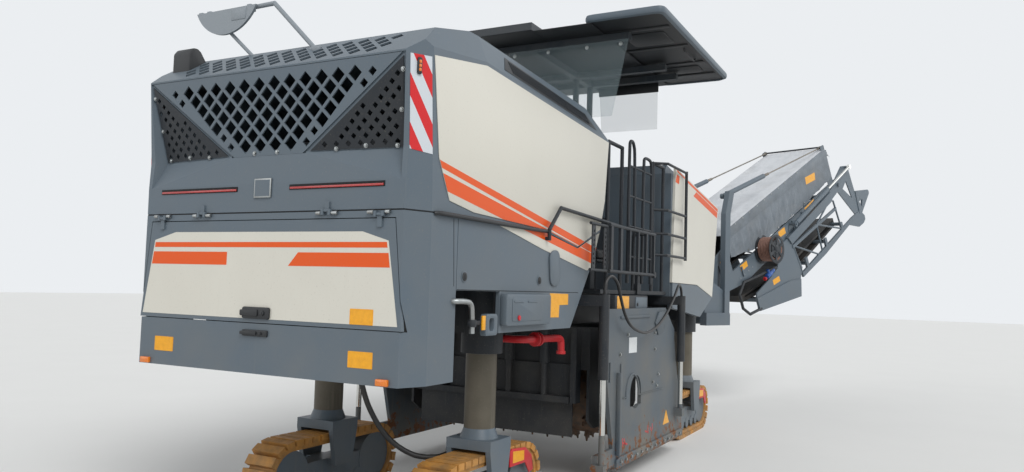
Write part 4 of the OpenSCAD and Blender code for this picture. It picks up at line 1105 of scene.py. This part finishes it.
# %% Rivets and stiffening ribs of the conveyor's side frame
ribs, rivets = [], []
for side, flip, base, draw in both_sides:
    at = pitch_at @ base(-0.610 * flip)
    for u in (1.15, 2.35, 3.05, 3.45, 4.25):
        ribs.append(block(-0.016, 0.016, -0.088, 0.088, 0, 0.022, 0.003,
                          at @ Matrix.Translation((u * flip, -0.305, 0))))
    for k in range(26):
        u = 1.05 + k * 0.142
        if abs(u - 1.88) < 0.30 or abs(u - 2.95) < 0.12 or 4.66 < u:
            continue
        rivets.append(at @ Matrix.Translation((u * flip, -0.385 + 0.004 * (k % 2), 0)))
keep(together(ribs), "conveyor_ribs", body_enamel, "conveyor")
keep(copy_to(bolt_model(0.009, 0.006), rivets), "conveyor_rivets", zinc_plate, "conveyor")
print("conveyor dressed")

# %% [markdown]
# ## Lower right side
# Under the shell hang a pale drain tube with its slotted bracket and a control box
# with a plain sign. The red fire-water pipe turns out and down beside the leg.

# %% Drain tube and slotted bracket
tubes, brackets, cuffs, tags = [], [], [], []
for side, flip, base, draw in both_sides:
    path = [(-3.62, -1.235, 1.832), (-3.62, -1.285, 1.834), (-3.52, -1.292, 1.834), (-3.455, -1.292, 1.825),
            (-3.428, -1.292, 1.78), (-3.424, -1.292, 1.615)]
    tubes.append(hose([(x, y * flip, z) for x, y, z in path], 0.019, 4))
    base_plate = [(0.862, 1.592), (1.010, 1.592), (1.022, 1.610), (1.022, 1.728), (1.004, 1.745),
                  (0.872, 1.745),
                  (0.852, 1.728), (0.852, 1.610)]
    slot_hole = [(0.915, 1.625), (0.960, 1.625), (0.972, 1.645), (0.972, 1.700), (0.957, 1.716),
                 (0.917, 1.716),
                 (0.904, 1.700), (0.904, 1.645)]
    brackets.append(cut_sheet(draw(from_rear(base_plate)), 0.05, base(-1.2515 * flip), edge=0.005,
                              holes=[draw(from_rear(slot_hole))]))
    cuffs.append(disc(0.030, 0.05, Matrix.Translation((-3.424, -1.292 * flip, 1.66)), 28, edge=0.004))
    cuffs.append(block(-3.455, -3.235, min(-1.30 * flip, -1.27 * flip), max(-1.30 * flip, -1.27 * flip),
                       1.672,
                       1.700, 0.004))
    tags.append(block(-3.315, -3.270, min(-1.312 * flip, -1.30 * flip), max(-1.312 * flip, -1.30 * flip),
                      1.635,
                      1.735, 0.003))
keep(together(tubes), "drain_tubes", zinc_plate, "chassis", smooth=60)
keep(together(brackets), "slotted_brackets", body_enamel, "chassis")
keep(together(cuffs), "drain_clamps", dark_enamel, "chassis", smooth=40)
keep(together(tags), "drain_tags", sign_yellow, "chassis")

# %% [markdown]
# A control box with a small door hangs under the platform on each side. The water pipe is
# one bent tube with two flanges and a mouth, which stand for the cast fittings.

# %% Control boxes under the platform
boxes, doors, yellow, white, handles = [], [], [], [], []
for side, flip, base, draw in both_sides:
    y0, y1 = sorted((-1.272 * flip, -1.10 * flip))
    boxes.append(block(-0.60, 0.42, y0, y1, 1.70, 1.895, 0.012))
    boxes.append(block(-0.52, -0.10, y0, y1, 1.62, 1.705, 0.008))
    face = base(-1.272 * flip)
    doors.append(cut_sheet(draw(rect(0.0, 0.38, 1.72, 1.875)), 0.006, face, edge=0.003))
    yellow.append(cut_sheet(draw(rect(-0.55, -0.20, 1.722, 1.885)), 0.0015, face))
    white.append(cut_sheet(draw(rect(-0.49, -0.27, 1.635, 1.695)), 0.0015, face))
    handles.append(disc(0.018, 0.009, face @ Matrix.Translation((0.05 * flip, 1.80, 0.006)), 24, edge=0.004))
keep(together(boxes), "control_boxes", dark_enamel, "chassis")
keep(together(doors), "control_box_doors", body_enamel, "chassis")
keep(together(yellow), "control_box_signs", sign_yellow, "chassis")
keep(together(white), "control_box_labels", white_film, "chassis")
keep(together(handles), "control_box_knobs", black_plastic, "chassis")

# %% Red pipe
stem = hose([(-2.06, -0.62, 1.50), (-2.06, -0.92, 1.50), (-2.03, -0.985, 1.50), (-1.95, -1.0, 1.497),
             (-1.36, -1.0, 1.487), (-1.30, -1.0, 1.475), (-1.283, -1.0, 1.43), (-1.283, -1.0, 1.345)],
            0.033, 5)
flange = [disc(0.062, 0.022, frame_of((-1.86, -1.0, 1.495), (0, 0, 1), (1, 0, 0)), 32, edge=0.004),
          disc(0.062, 0.022, frame_of((-1.80, -1.0, 1.494), (0, 0, 1), (1, 0, 0)), 32, edge=0.004),
          disc(0.043, 0.03, Matrix.Translation((-1.283, -1.0, 1.335)), 32, edge=0.004)]
pipe = keep(together([stem] + flange), "red_pipe_bent", red_enamel, "chassis", smooth=60)
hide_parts("red_pipe")
print("lower side dressed")

# %% [markdown]
# ## Side plates
# Each plate has a bolted wear skid, a crease, a stiff rear post, an arch over the
# drum's end and plain labels. Both sides are the same.

# %% Side plate details
for side, flip, base, draw in both_sides:
    body = "side_plate_" + side
    out_y = -plate_side * flip

    def draw_rear(outline):
        return draw(from_rear(outline))

    skid = cut_sheet(draw_rear([(3.42, 0.214), (5.70, 0.214), (5.715, 0.262), (5.64, 0.300), (3.50, 0.318),
                                (3.42, 0.30)]),
                     0.022, base(out_y), edge=0.004)
    keep(skid, "wear_skid_" + side, plate_enamel, body)
    spots = [base(out_y - 0.022 * flip) @ Matrix.Translation(((3.52 + 0.158 * k + rear_at) * flip,
                                                              0.272 - 0.0012 * k, 0))
             for k in range(14)]
    for x, z in ((3.50, 1.311), (3.50, 0.576), (3.50, 0.40), (4.603, 1.488), (4.613, 1.308), (4.749, 1.022),
                 (4.556, 0.954), (4.70, 0.90), (4.35, 1.50), (3.72, 1.50)):
        spots.append(base(out_y) @ Matrix.Translation(((x + rear_at) * flip, z, 0)))
    keep(copy_to(bolt_model(0.016, 0.013, dome=False), spots), "side_plate_bolts_" + side, zinc_plate, body)
    crease = cut_sheet(draw_rear(rect(3.60, 3.70, 0.878, 0.868)), 0.010, base(out_y), edge=0.003)
    crease2 = cut_sheet(draw_rear([(4.10, 0.868), (4.92, 0.853), (4.92, 0.843), (4.10, 0.858)]), 0.010,
                        base(out_y),
                        edge=0.003)
    arch_line = [(3.69, 0.86)] + [(3.885 + 0.195 * math.cos(math.radians(a)),
                                   0.885 + 0.205 * math.sin(math.radians(a)))
                                  for a in range(180, -1, -12)] + [(4.08, 0.86)]
    arch = hose([(x + rear_at, -1.333 * flip, z) for x, z in arch_line], 0.011, 3, smooth=False)
    rear_post = cut_sheet(draw_rear([(3.42, 0.34), (3.475, 0.34), (3.475, 1.10), (3.45, 1.14),
                                     (3.42, 1.14)]), 0.045,
                          base(out_y), edge=0.008)
    slot_pad = cut_sheet(draw_rear(round_corners(rect(3.515, 3.56, 1.02, 1.22), 0.02)), 0.012,
                       base(out_y), edge=0.003)
    ear = cut_sheet(draw_rear([(4.589, 1.60), (4.72, 1.72), (5.00, 1.72), (5.06, 1.66), (4.90, 1.50),
                               (4.70, 1.46)]), 0.016,
                    base(out_y), edge=0.004)
    brow = cut_sheet(draw_rear(rect(3.50, 4.40, 1.66, 1.69)), 0.012, base(out_y), edge=0.004)
    keep(together([crease, crease2, arch, rear_post, slot_pad, ear, brow]), "side_plate_relief_" + side,
         plate_enamel,
         body)
    label = cut_sheet(draw_rear([(3.763, 1.310), (4.005, 1.305), (4.005, 1.462), (3.763, 1.466)]), 0.0015,
                      base(out_y))
    keep(label, "side_plate_label_" + side, white_film, body)
    tri = cut_sheet(draw_rear([(5.08, 0.590), (4.965, 0.430), (5.20, 0.430)]), 0.0015, base(out_y))
    keep(tri, "side_plate_triangle_" + side, sign_yellow, body)
    marks = []
    for x0, z0, x1, z1 in ((3.62, 0.48, 3.64, 0.39), (3.64, 0.43, 3.77, 0.40), (3.67, 0.47, 3.71, 0.40),
                           (4.33, 0.45, 4.45, 0.42), (4.42, 0.50, 4.43, 0.41), (4.50, 0.47, 4.55, 0.42),
                           (4.57, 0.50, 4.58, 0.43)):
        d = Vector((x1 - x0, z1 - z0)).normalized()
        n = Vector((-d.y, d.x)) * 0.009
        marks.append(cut_sheet(draw_rear([(x0 - n.x, z0 - n.y), (x1 - n.x, z1 - n.y), (x1 + n.x, z1 + n.y),
                                     (x0 + n.x, z0 + n.y)]), 0.0008, base(out_y)))
    keep(together(marks), "paint_marks_" + side, red_enamel, body)
print("side plates dressed")

# %% [markdown]
# ## Legs, tracks and canopy
# Each leg's column shows a smooth grimy tube under its sleeve, so it gets a thin round
# skin over the CAD column. A red guard with a blank sign covers the front wheel of each
# track.

# %% Column skins, and red track guards with plain signs
legs = {"rear_right": (-2.4, -0.79), "rear_left": (-2.4, 0.79), "front_right": (3.0, -0.95),
        "front_left": (3.0, 0.95)}
for name, (x0, y0) in legs.items():
    body = "leg_" + name
    skin = disc(0.1278, 0.60, Matrix.Translation((x0, y0, 0.795)), 64)
    keep(skin, "column_skin_" + name, column_enamel, body, smooth=40)
    side, flip, base, draw = both_sides[0 if y0 < 0 else 1]
    face = y0 - 0.158 * flip
    outline = [(x0 + x, z) for x, z in ((0.235, 0.45), (0.235, 0.575), (0.27, 0.597), (0.52, 0.572),
                                        (0.64, 0.49), (0.675, 0.36), (0.60, 0.345), (0.52, 0.445))]
    guard = cut_sheet(draw(outline), 0.012, base(face), edge=0.003)
    keep(guard, "track_guard_" + name, red_enamel, body)
    plain_sign = [(x0 + x, z) for x, z in ((0.285, 0.475), (0.49, 0.470), (0.49, 0.552), (0.285, 0.572))]
    label = cut_sheet(draw(plain_sign), 0.0015, base(face - 0.012 * flip))
    keep(label, "track_guard_sign_" + name, sign_yellow, body)
print("legs dressed")

# %% [markdown]
# The canopy's right wing is a moulded shell with a hollow underside. The hollow is cut
# with a smaller plate, and ribs, two sunk fields and a grip lie in it on a thin sheet. That
# sheet and the flat sheets under the rest of the roof are black as painted shade of the
# canopy's downward faces.

# %% Right canopy wing as a moulded shell
flat = Matrix.Translation((0, 0, 4.498))
wing_line = [(-1.19, -1.10), (-1.19, -1.90), (1.36, -1.90), (1.43, -1.80), (1.43, -1.10)]
top = cut_sheet(round_corners(wing_line, 0.09), 0.070, flat, edge=0.022)
cavity = cut_sheet(round_corners([(-1.15, -1.12), (-1.15, -1.86), (1.34, -1.86), (1.39, -1.79),
                                  (1.39, -1.12)], 0.07),
                   0.03, Matrix.Translation((0, 0, 4.488)))
shape(top, "BOOLEAN", object=cavity, operation="DIFFERENCE", solver="EXACT")
bpy.data.objects.remove(cavity)
top = keep(top, "canopy_wing_shell", body_enamel, "roof_wing")
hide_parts("roof_right")
# the black sheet in the hollow is painted shade of the wing's underside; the ribs and sunk fields on it are
# real shape
wing_ribs_and_shade = [cut_sheet(round_corners([(-1.145, -1.125), (-1.145, -1.855), (1.335, -1.855), (1.385, -1.785),
                                  (1.385, -1.125)], 0.07), 0.008, Matrix.Translation((0, 0, 4.509)),
                   edge=0.002)]
for x in (-0.75, -0.1, 0.55, 1.05):
    wing_ribs_and_shade.append(block(x - 0.03, x + 0.03, -1.82, -1.16, 4.497, 4.510, 0.005))
for x0, x1 in ((-0.62, -0.22), (0.68, 0.95)):
    wing_ribs_and_shade.append(cut_sheet(round_corners(rect(x0, x1, -1.72, -1.30), 0.05), 0.010,
                           Matrix.Translation((0, 0, 4.500)), edge=0.004))
keep(together(wing_ribs_and_shade), "canopy_wing_ribs_and_painted_shade", black_plastic, "roof_wing")
grip = hose([(x, -1.76, z) for x, z in ((-0.02, 4.50), (-0.02, 4.475), (0.05, 4.468), (0.33, 4.468),
                                        (0.40, 4.475), (0.40, 4.50))], 0.011, 3)
keep(grip, "canopy_grip", black_plastic, "roof_wing", smooth=60)
# flat black sheets under the rest of the roof: painted shade of its downward faces, not a part
under = [cut_sheet(rect(-1.17, 1.40, -0.54, 1.24), 0.002, Matrix.Translation((0, 0, 4.4925)))]
under.append(cut_sheet(rect(-1.15, 1.37, -1.165, -0.552), 0.005,
                       Matrix.Translation((0, 0, 4.4912))))
keep(together(under), "canopy_underside_painted_shade", black_plastic, "roof")

# %% Front pane and the bolts of the rear panes
pane = cut_sheet([(1.11, 3.905), (0.39, 3.905), (0.36, 4.37), (1.11, 4.37)], 0.006, on_rear(1.15) @ Matrix())
keep(pane, "front_pane", window_glass, "roof_wing")
trim = cut_sheet(rect(1.12, 0.35, 4.36, 4.488), 0.012, on_rear(1.148), edge=0.003)
keep(trim, "front_pane_trim", black_plastic, "roof_wing")
spots = [frame_of((-0.789, y, z), (0, 0, 1), (-1, 0, 0)) for y, z in
         ((-1.34, 4.375), (-0.98, 4.375), (-0.55, 4.375), (-0.16, 4.375), (0.05, 4.375), (0.55, 4.375),
          (1.10, 4.375))]
keep(copy_to(bolt_model(0.015, 0.008), spots), "pane_bolts", zinc_plate, "roof")
print("canopy dressed")

# %% [markdown]
# Small fittings finish the upper side: the exhaust's fin-shaped cowl, the clamps and feet
# of the mirror, two perforated steps and the rail along the seam. They are sheets, blocks
# and tubes, because that is how the real ones are made.

# %% Exhaust fin and mirror fittings
fin = cut_sheet([(-3.975, 3.40), (-3.66, 3.40), (-3.75, 3.55), (-3.865, 3.695), (-3.90, 3.715),
                 (-3.945, 3.705),
                 (-3.975, 3.665)], 0.19, on_right(1.155), edge=0.018)
fin = keep(fin, "exhaust_fin", black_plastic, "hood")
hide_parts("exhaust")
clamp_box = block(-3.905, -3.872, 0.475, 0.625, 3.885, 3.975, 0.008)
clamps = [block(-3.893, -3.835, y - 0.022, y + 0.022, 3.950, 3.998, 0.006) for y in (0.46, 0.88, 0.97)]
feet = [block(-3.84, -3.74, 0.40, 0.50, 3.56, 3.60, 0.006),
        block(-3.88, -3.78, -0.24, -0.14, 3.555, 3.605, 0.006)]
keep(together([clamp_box] + clamps), "mirror_clamps", grey_plastic, "hood", smooth=40)
keep(together(feet), "mirror_feet", grey_plastic, "hood", smooth=40)

# %% Perforated steps behind the handrail
steps_made = []
for x in (-1.42, -1.13):
    holes = [[(x + 0.022 + 0.012 * (k % 2), 2.18 + 0.042 * k - 0.011),
              (x + 0.046 + 0.012 * (k % 2), 2.18 + 0.042 * k - 0.011),
              (x + 0.046 + 0.012 * (k % 2), 2.18 + 0.042 * k + 0.011),
              (x + 0.022 + 0.012 * (k % 2), 2.18 + 0.042 * k + 0.011)]
             for k in range(8)]
    steps_made.append(cut_sheet(rect(x, x + 0.08, 2.13, 2.53), 0.010, on_right(-1.335),
                                edge=0.002, holes=holes))
rails = [hose([(-1.47, -1.345, z), (-1.06, -1.345, z)], 0.014, 3, smooth=False) for z in (2.12, 2.54)]
keep(together(steps_made + rails), "perforated_steps_right", dark_enamel, "chassis", smooth=40)

# %% Rail along the seam
for name, flip in (("right", 1), ("left", -1)):
    rail = hose([(-3.87, -1.249 * flip, 2.395), (-3.85, -1.272 * flip, 2.398), (-3.78, -1.276 * flip, 2.398),
                 (-2.30, -1.276 * flip, 2.400), (-2.24, -1.276 * flip, 2.405)], 0.015, 3)
    keep(rail, "seam_rail_" + name, black_plastic, "chassis", smooth=60)
print("small parts dressed")

# %% [markdown]
# ## Louvres, rods and grab rails
# The bevel along the top of the hood carries a dark louvred strip: one sheet, and one
# slat that is copied 44 times. The ladders end between bent grab rails.

# %% Louvred strips on the bevel
for name, flip in (("right", 1), ("left", -1)):
    a, b, c = Vector((-3.26, -1.25, 3.54)), Vector((-0.81, -1.25, 3.40)), Vector((-2.85, -1.12, 3.76))
    out = (b - a).cross(c - a).normalized()
    at = frame_of(a, b - a, out)
    if flip == -1:
        a, b, out = Vector((a.x, -a.y, a.z)), Vector((b.x, -b.y, b.z)), Vector((out.x, -out.y, out.z))
        at = frame_of(b, a - b, out)
    long = (b - a).length
    span = [(0.30, 0.045), (2.16, 0.045), (2.02, 0.185), (0.42, 0.205)]
    if flip == -1:
        span = [(long - u, v) for u, v in reversed(span)]
    strip = cut_sheet(span, 0.004, at, edge=0.001)
    keep(strip, "louvre_strip_" + name, black_plastic, "hood")
    slats = []
    for k in range(44):
        u = 0.46 + k * 0.0355
        u = u if flip == 1 else long - u
        slats.append(at @ Matrix.Translation((u, 0.120, 0.004)))
    slat = block(-0.006, 0.006, -0.058, 0.058, 0, 0.007, 0.002)
    keep(copy_to(slat, slats), "louvre_slats_" + name, dark_enamel, "hood")

# %% Bright rods of the side plates
for name, flip in (("right", 1), ("left", -1)):
    rods = [disc(0.02815, 0.74, Matrix.Translation((x, -1.39 * flip, 0.62)), 40) for x in (-1.2, 1.34)]
    keep(together(rods), "lift_rod_skins_" + name, chrome_rod, "side_plate_" + name, smooth=40)

# %% Front edge sign and grab rails by the ladder
grabs = []
for flip in (1, -1):
    for points in ([(-0.17, 2.02), (-0.17, 3.47), (-0.15, 3.52), (-0.10, 3.53), (-0.05, 3.52),
                    (0.02, 3.40), (0.02, 2.02)],
                   [(0.30, 2.02), (0.30, 3.36), (0.33, 3.42), (0.50, 3.42), (0.56, 3.40), (0.60, 3.30),
                    (0.60, 2.02)]):
        grabs.append(hose([(x, -1.235 * flip, z) for x, z in points], 0.017, 3))
    for z in (2.30, 2.62, 2.94, 3.26):
        grabs.append(hose([(-0.17, -1.235 * flip, z), (0.60, -1.235 * flip, z)], 0.011, 3, smooth=False))
keep(together(grabs), "grab_rails", dark_enamel, "chassis", smooth=60)
tags = [block(-0.775, -0.765, min(-1.17 * f, -1.08 * f), max(-1.17 * f, -1.08 * f), 3.20, 3.38,
              0.002) for f in (1, -1)]
keep(together(tags), "entry_signs", sign_yellow, "chassis")


# %% [markdown]
# ## Seats
# Each seat is a foam cushion and a back with sewn channels. A softened block is voxel
# remeshed, pinned at its underside and along the channels, and blown up for a few frames
# as cloth under pressure. That gives a crowned, pulled-in form that a bevel can't give.
# How far a point may move is capped, so that the pad keeps its size.

# %% Seat cushions
def stuffed(name, x0, x1, y0, y1, z0, z1, channels, cap=0.016):
    """A block voxel remeshed, blown up as cloth, pinned at its back face and its sewn channels."""
    piece = block(x0, x1, y0, y1, z0, z1, 0.018)
    shape(piece, "REMESH", mode="VOXEL", voxel_size=0.0095)
    start = [v.co.copy() for v in piece.data.vertices]
    pins = piece.vertex_groups.new(name="pins")
    thin = 0 if x1 - x0 < z1 - z0 else 2
    low = (x0, y0, z0)[thin]
    held = [v.index for v in piece.data.vertices if v.co[thin] < low + 0.012 or
            any(abs(v.co.y - c) < 0.006 and v.co[thin] > low + 0.05 for c in channels)]
    pins.add(held, 1.0, "REPLACE")
    cloth = piece.modifiers.new("Cloth", "CLOTH")
    cloth.settings.vertex_group_mass = "pins"
    cloth.settings.use_pressure = True
    cloth.settings.uniform_pressure_force = 4
    cloth.settings.effector_weights.gravity = 0
    for frame_number in range(1, 19):
        bpy.context.scene.frame_set(frame_number)
    only(piece)
    bpy.ops.object.modifier_apply(modifier=cloth.name)
    bpy.context.scene.frame_set(1)
    for vertex, place in zip(piece.data.vertices, start):
        step = vertex.co - place
        if step.length > cap:
            vertex.co = place + step.normalized() * cap
    piece.vertex_groups.clear()
    piece.name = name
    return piece


seat = stuffed("seat_cushion", -0.405, 0.005, 0.575, 1.005, 2.268, 2.352, (0.70, 0.88))
back = stuffed("seat_back", -0.505, -0.435, 0.575, 1.005, 2.40, 2.885, (0.70, 0.88))
for model, name in ((seat, "seat_cushion"), (back, "seat_back")):
    twin = model.copy()
    twin.data = model.data.copy()
    bpy.context.scene.collection.objects.link(twin)
    place_at(twin, Matrix.Translation((0, -1.58, 0)))
    for piece, side_name in ((model, "_left"), (twin, "_right")):
        keep(piece, name + side_name, seat_vinyl, "chassis", smooth=60)
        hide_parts("seats")
frames = []
for y in (0.79, -0.79):
    frames.append(block(-0.26, -0.14, y - 0.07, y + 0.07, 1.945, 2.24, 0.01))
    frames.append(block(-0.40, 0.0, y - 0.20, y + 0.20, 2.235, 2.262, 0.008))
    frames.append(block(-0.520, -0.512, y - 0.20, y + 0.20, 2.26, 2.86, 0.002))
frame_piece = keep(together(frames), "seat_frames", dark_enamel, "chassis")
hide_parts("seats")
print("seats stuffed")


# %% [markdown]
# ## Free hoses
# A hydraulic hose is stiff: it leaves its fitting straight, bends no tighter than about
# four diameters and sags between its ends. A smooth curve runs through a few chosen
# points, and the tube is bent along it.

# %% Free hoses
def smooth_path(points, step=0.012):
    """Points along a curve that runs through all the given ones."""
    points = [Vector(p) for p in points]
    ends = [points[0] * 2 - points[1]] + points + [points[-1] * 2 - points[-2]]
    fine = []
    for p0, p1, p2, p3 in zip(ends, ends[1:], ends[2:], ends[3:]):
        count = max(2, int((p2 - p1).length / step))
        for i in range(count):
            t = i / count
            fine.append(0.5 * (2 * p1 + (p2 - p0) * t + (2 * p0 - 5 * p1 + 4 * p2 - p3) * t * t +
                               (3 * p1 - p0 - 3 * p2 + p3) * t ** 3))
    return fine + [points[-1]]


def free_hose(name, points, diameter, finish, body):
    path = smooth_path(points)
    piece = hose([tuple(p) for p in path], diameter / 2, 4, smooth=False)
    keep(piece, name, finish, body, smooth=60)


rubber_hose = matte_stuff("black hydraulic hose", "#17181a", "#222326", 60, 0.45, 0.05, 0.15)
for name, flip in (("right", 1), ("left", -1)):
    free_hose("plate_hose_" + name, [(x, y * flip, z) for x, y, z in (
        (-1.2, -1.39, 1.90), (-1.2, -1.39, 1.955), (-1.187, -1.395, 2.01), (-1.145, -1.40, 2.055),
        (-1.08, -1.41, 2.07), (-1.015, -1.42, 2.045), (-0.955, -1.43, 1.985), (-0.89, -1.43, 1.885),
        (-0.77, -1.43, 1.73), (-0.60, -1.43, 1.61), (-0.35, -1.43, 1.54), (-0.05, -1.43, 1.515),
        (0.28, -1.43, 1.57), (0.58, -1.43, 1.69), (0.82, -1.43, 1.83), (0.98, -1.425, 1.935),
        (1.09, -1.415, 2.0), (1.175, -1.405, 2.025), (1.26, -1.397, 2.01), (1.32, -1.392, 1.955),
        (1.34, -1.39, 1.90))], 0.03, rubber_hose, "chassis")
free_hose("rear_hose", [(-2.92, 0.10, 1.56), (-2.91, 0.10, 1.45), (-2.86, 0.09, 1.20), (-2.78, 0.04, 0.92),
                        (-2.68, -0.08, 0.68), (-2.56, -0.25, 0.54), (-2.45, -0.42, 0.52),
                        (-2.40, -0.53, 0.57),
                        (-2.40, -0.585, 0.60)], 0.045, rubber_hose, "chassis")

# %% [markdown]
# A blue plastic coupling with a red knob sits on the front section, and two blank signs
# stick to the canvas and the side sheet.

# %% Blue coupling and canvas sign on the conveyor
coupling = [disc(0.045, 0.16, tip_at @ frame_of((-3.26, -0.668, -0.69), (0, 0, 1), (1, 0, 0)), 28,
                 edge=0.006),
            disc(0.032, 0.10, tip_at @ frame_of((-3.10, -0.668, -0.69), (0, 0, 1), (1, 0, 0)), 28,
                 edge=0.005),
            disc(0.030, 0.10, tip_at @ frame_of((-3.18, -0.668, -0.69), (1, 0, 0), (0, 0, 1)), 28,
                 edge=0.005)]
keep(together(coupling), "blue_coupling", blue_plastic, "conveyor_tip")
knob = disc(0.035, 0.03, tip_at @ frame_of((-3.34, -0.668, -0.70), (0, 0, 1), (1, 0, 0)), 28, edge=0.006)
keep(knob, "red_knob", red_enamel, "conveyor_tip")
signs = [cut_sheet([(3.85, 0.17), (4.22, 0.12), (4.26, 0.255), (3.87, 0.305)], 0.0015,
                   pitch_at @ on_right(-0.6185)),
         cut_sheet([(-3.08, -0.95), (-2.85, -0.98), (-2.85, -0.88), (-3.08, -0.85)], 0.0015,
                   tip_at @ on_right(-0.6465))]
keep(signs[0], "canvas_sign", sign_yellow, "conveyor")
keep(signs[1], "front_section_sign", sign_yellow, "conveyor_tip")
print("all pieces made")
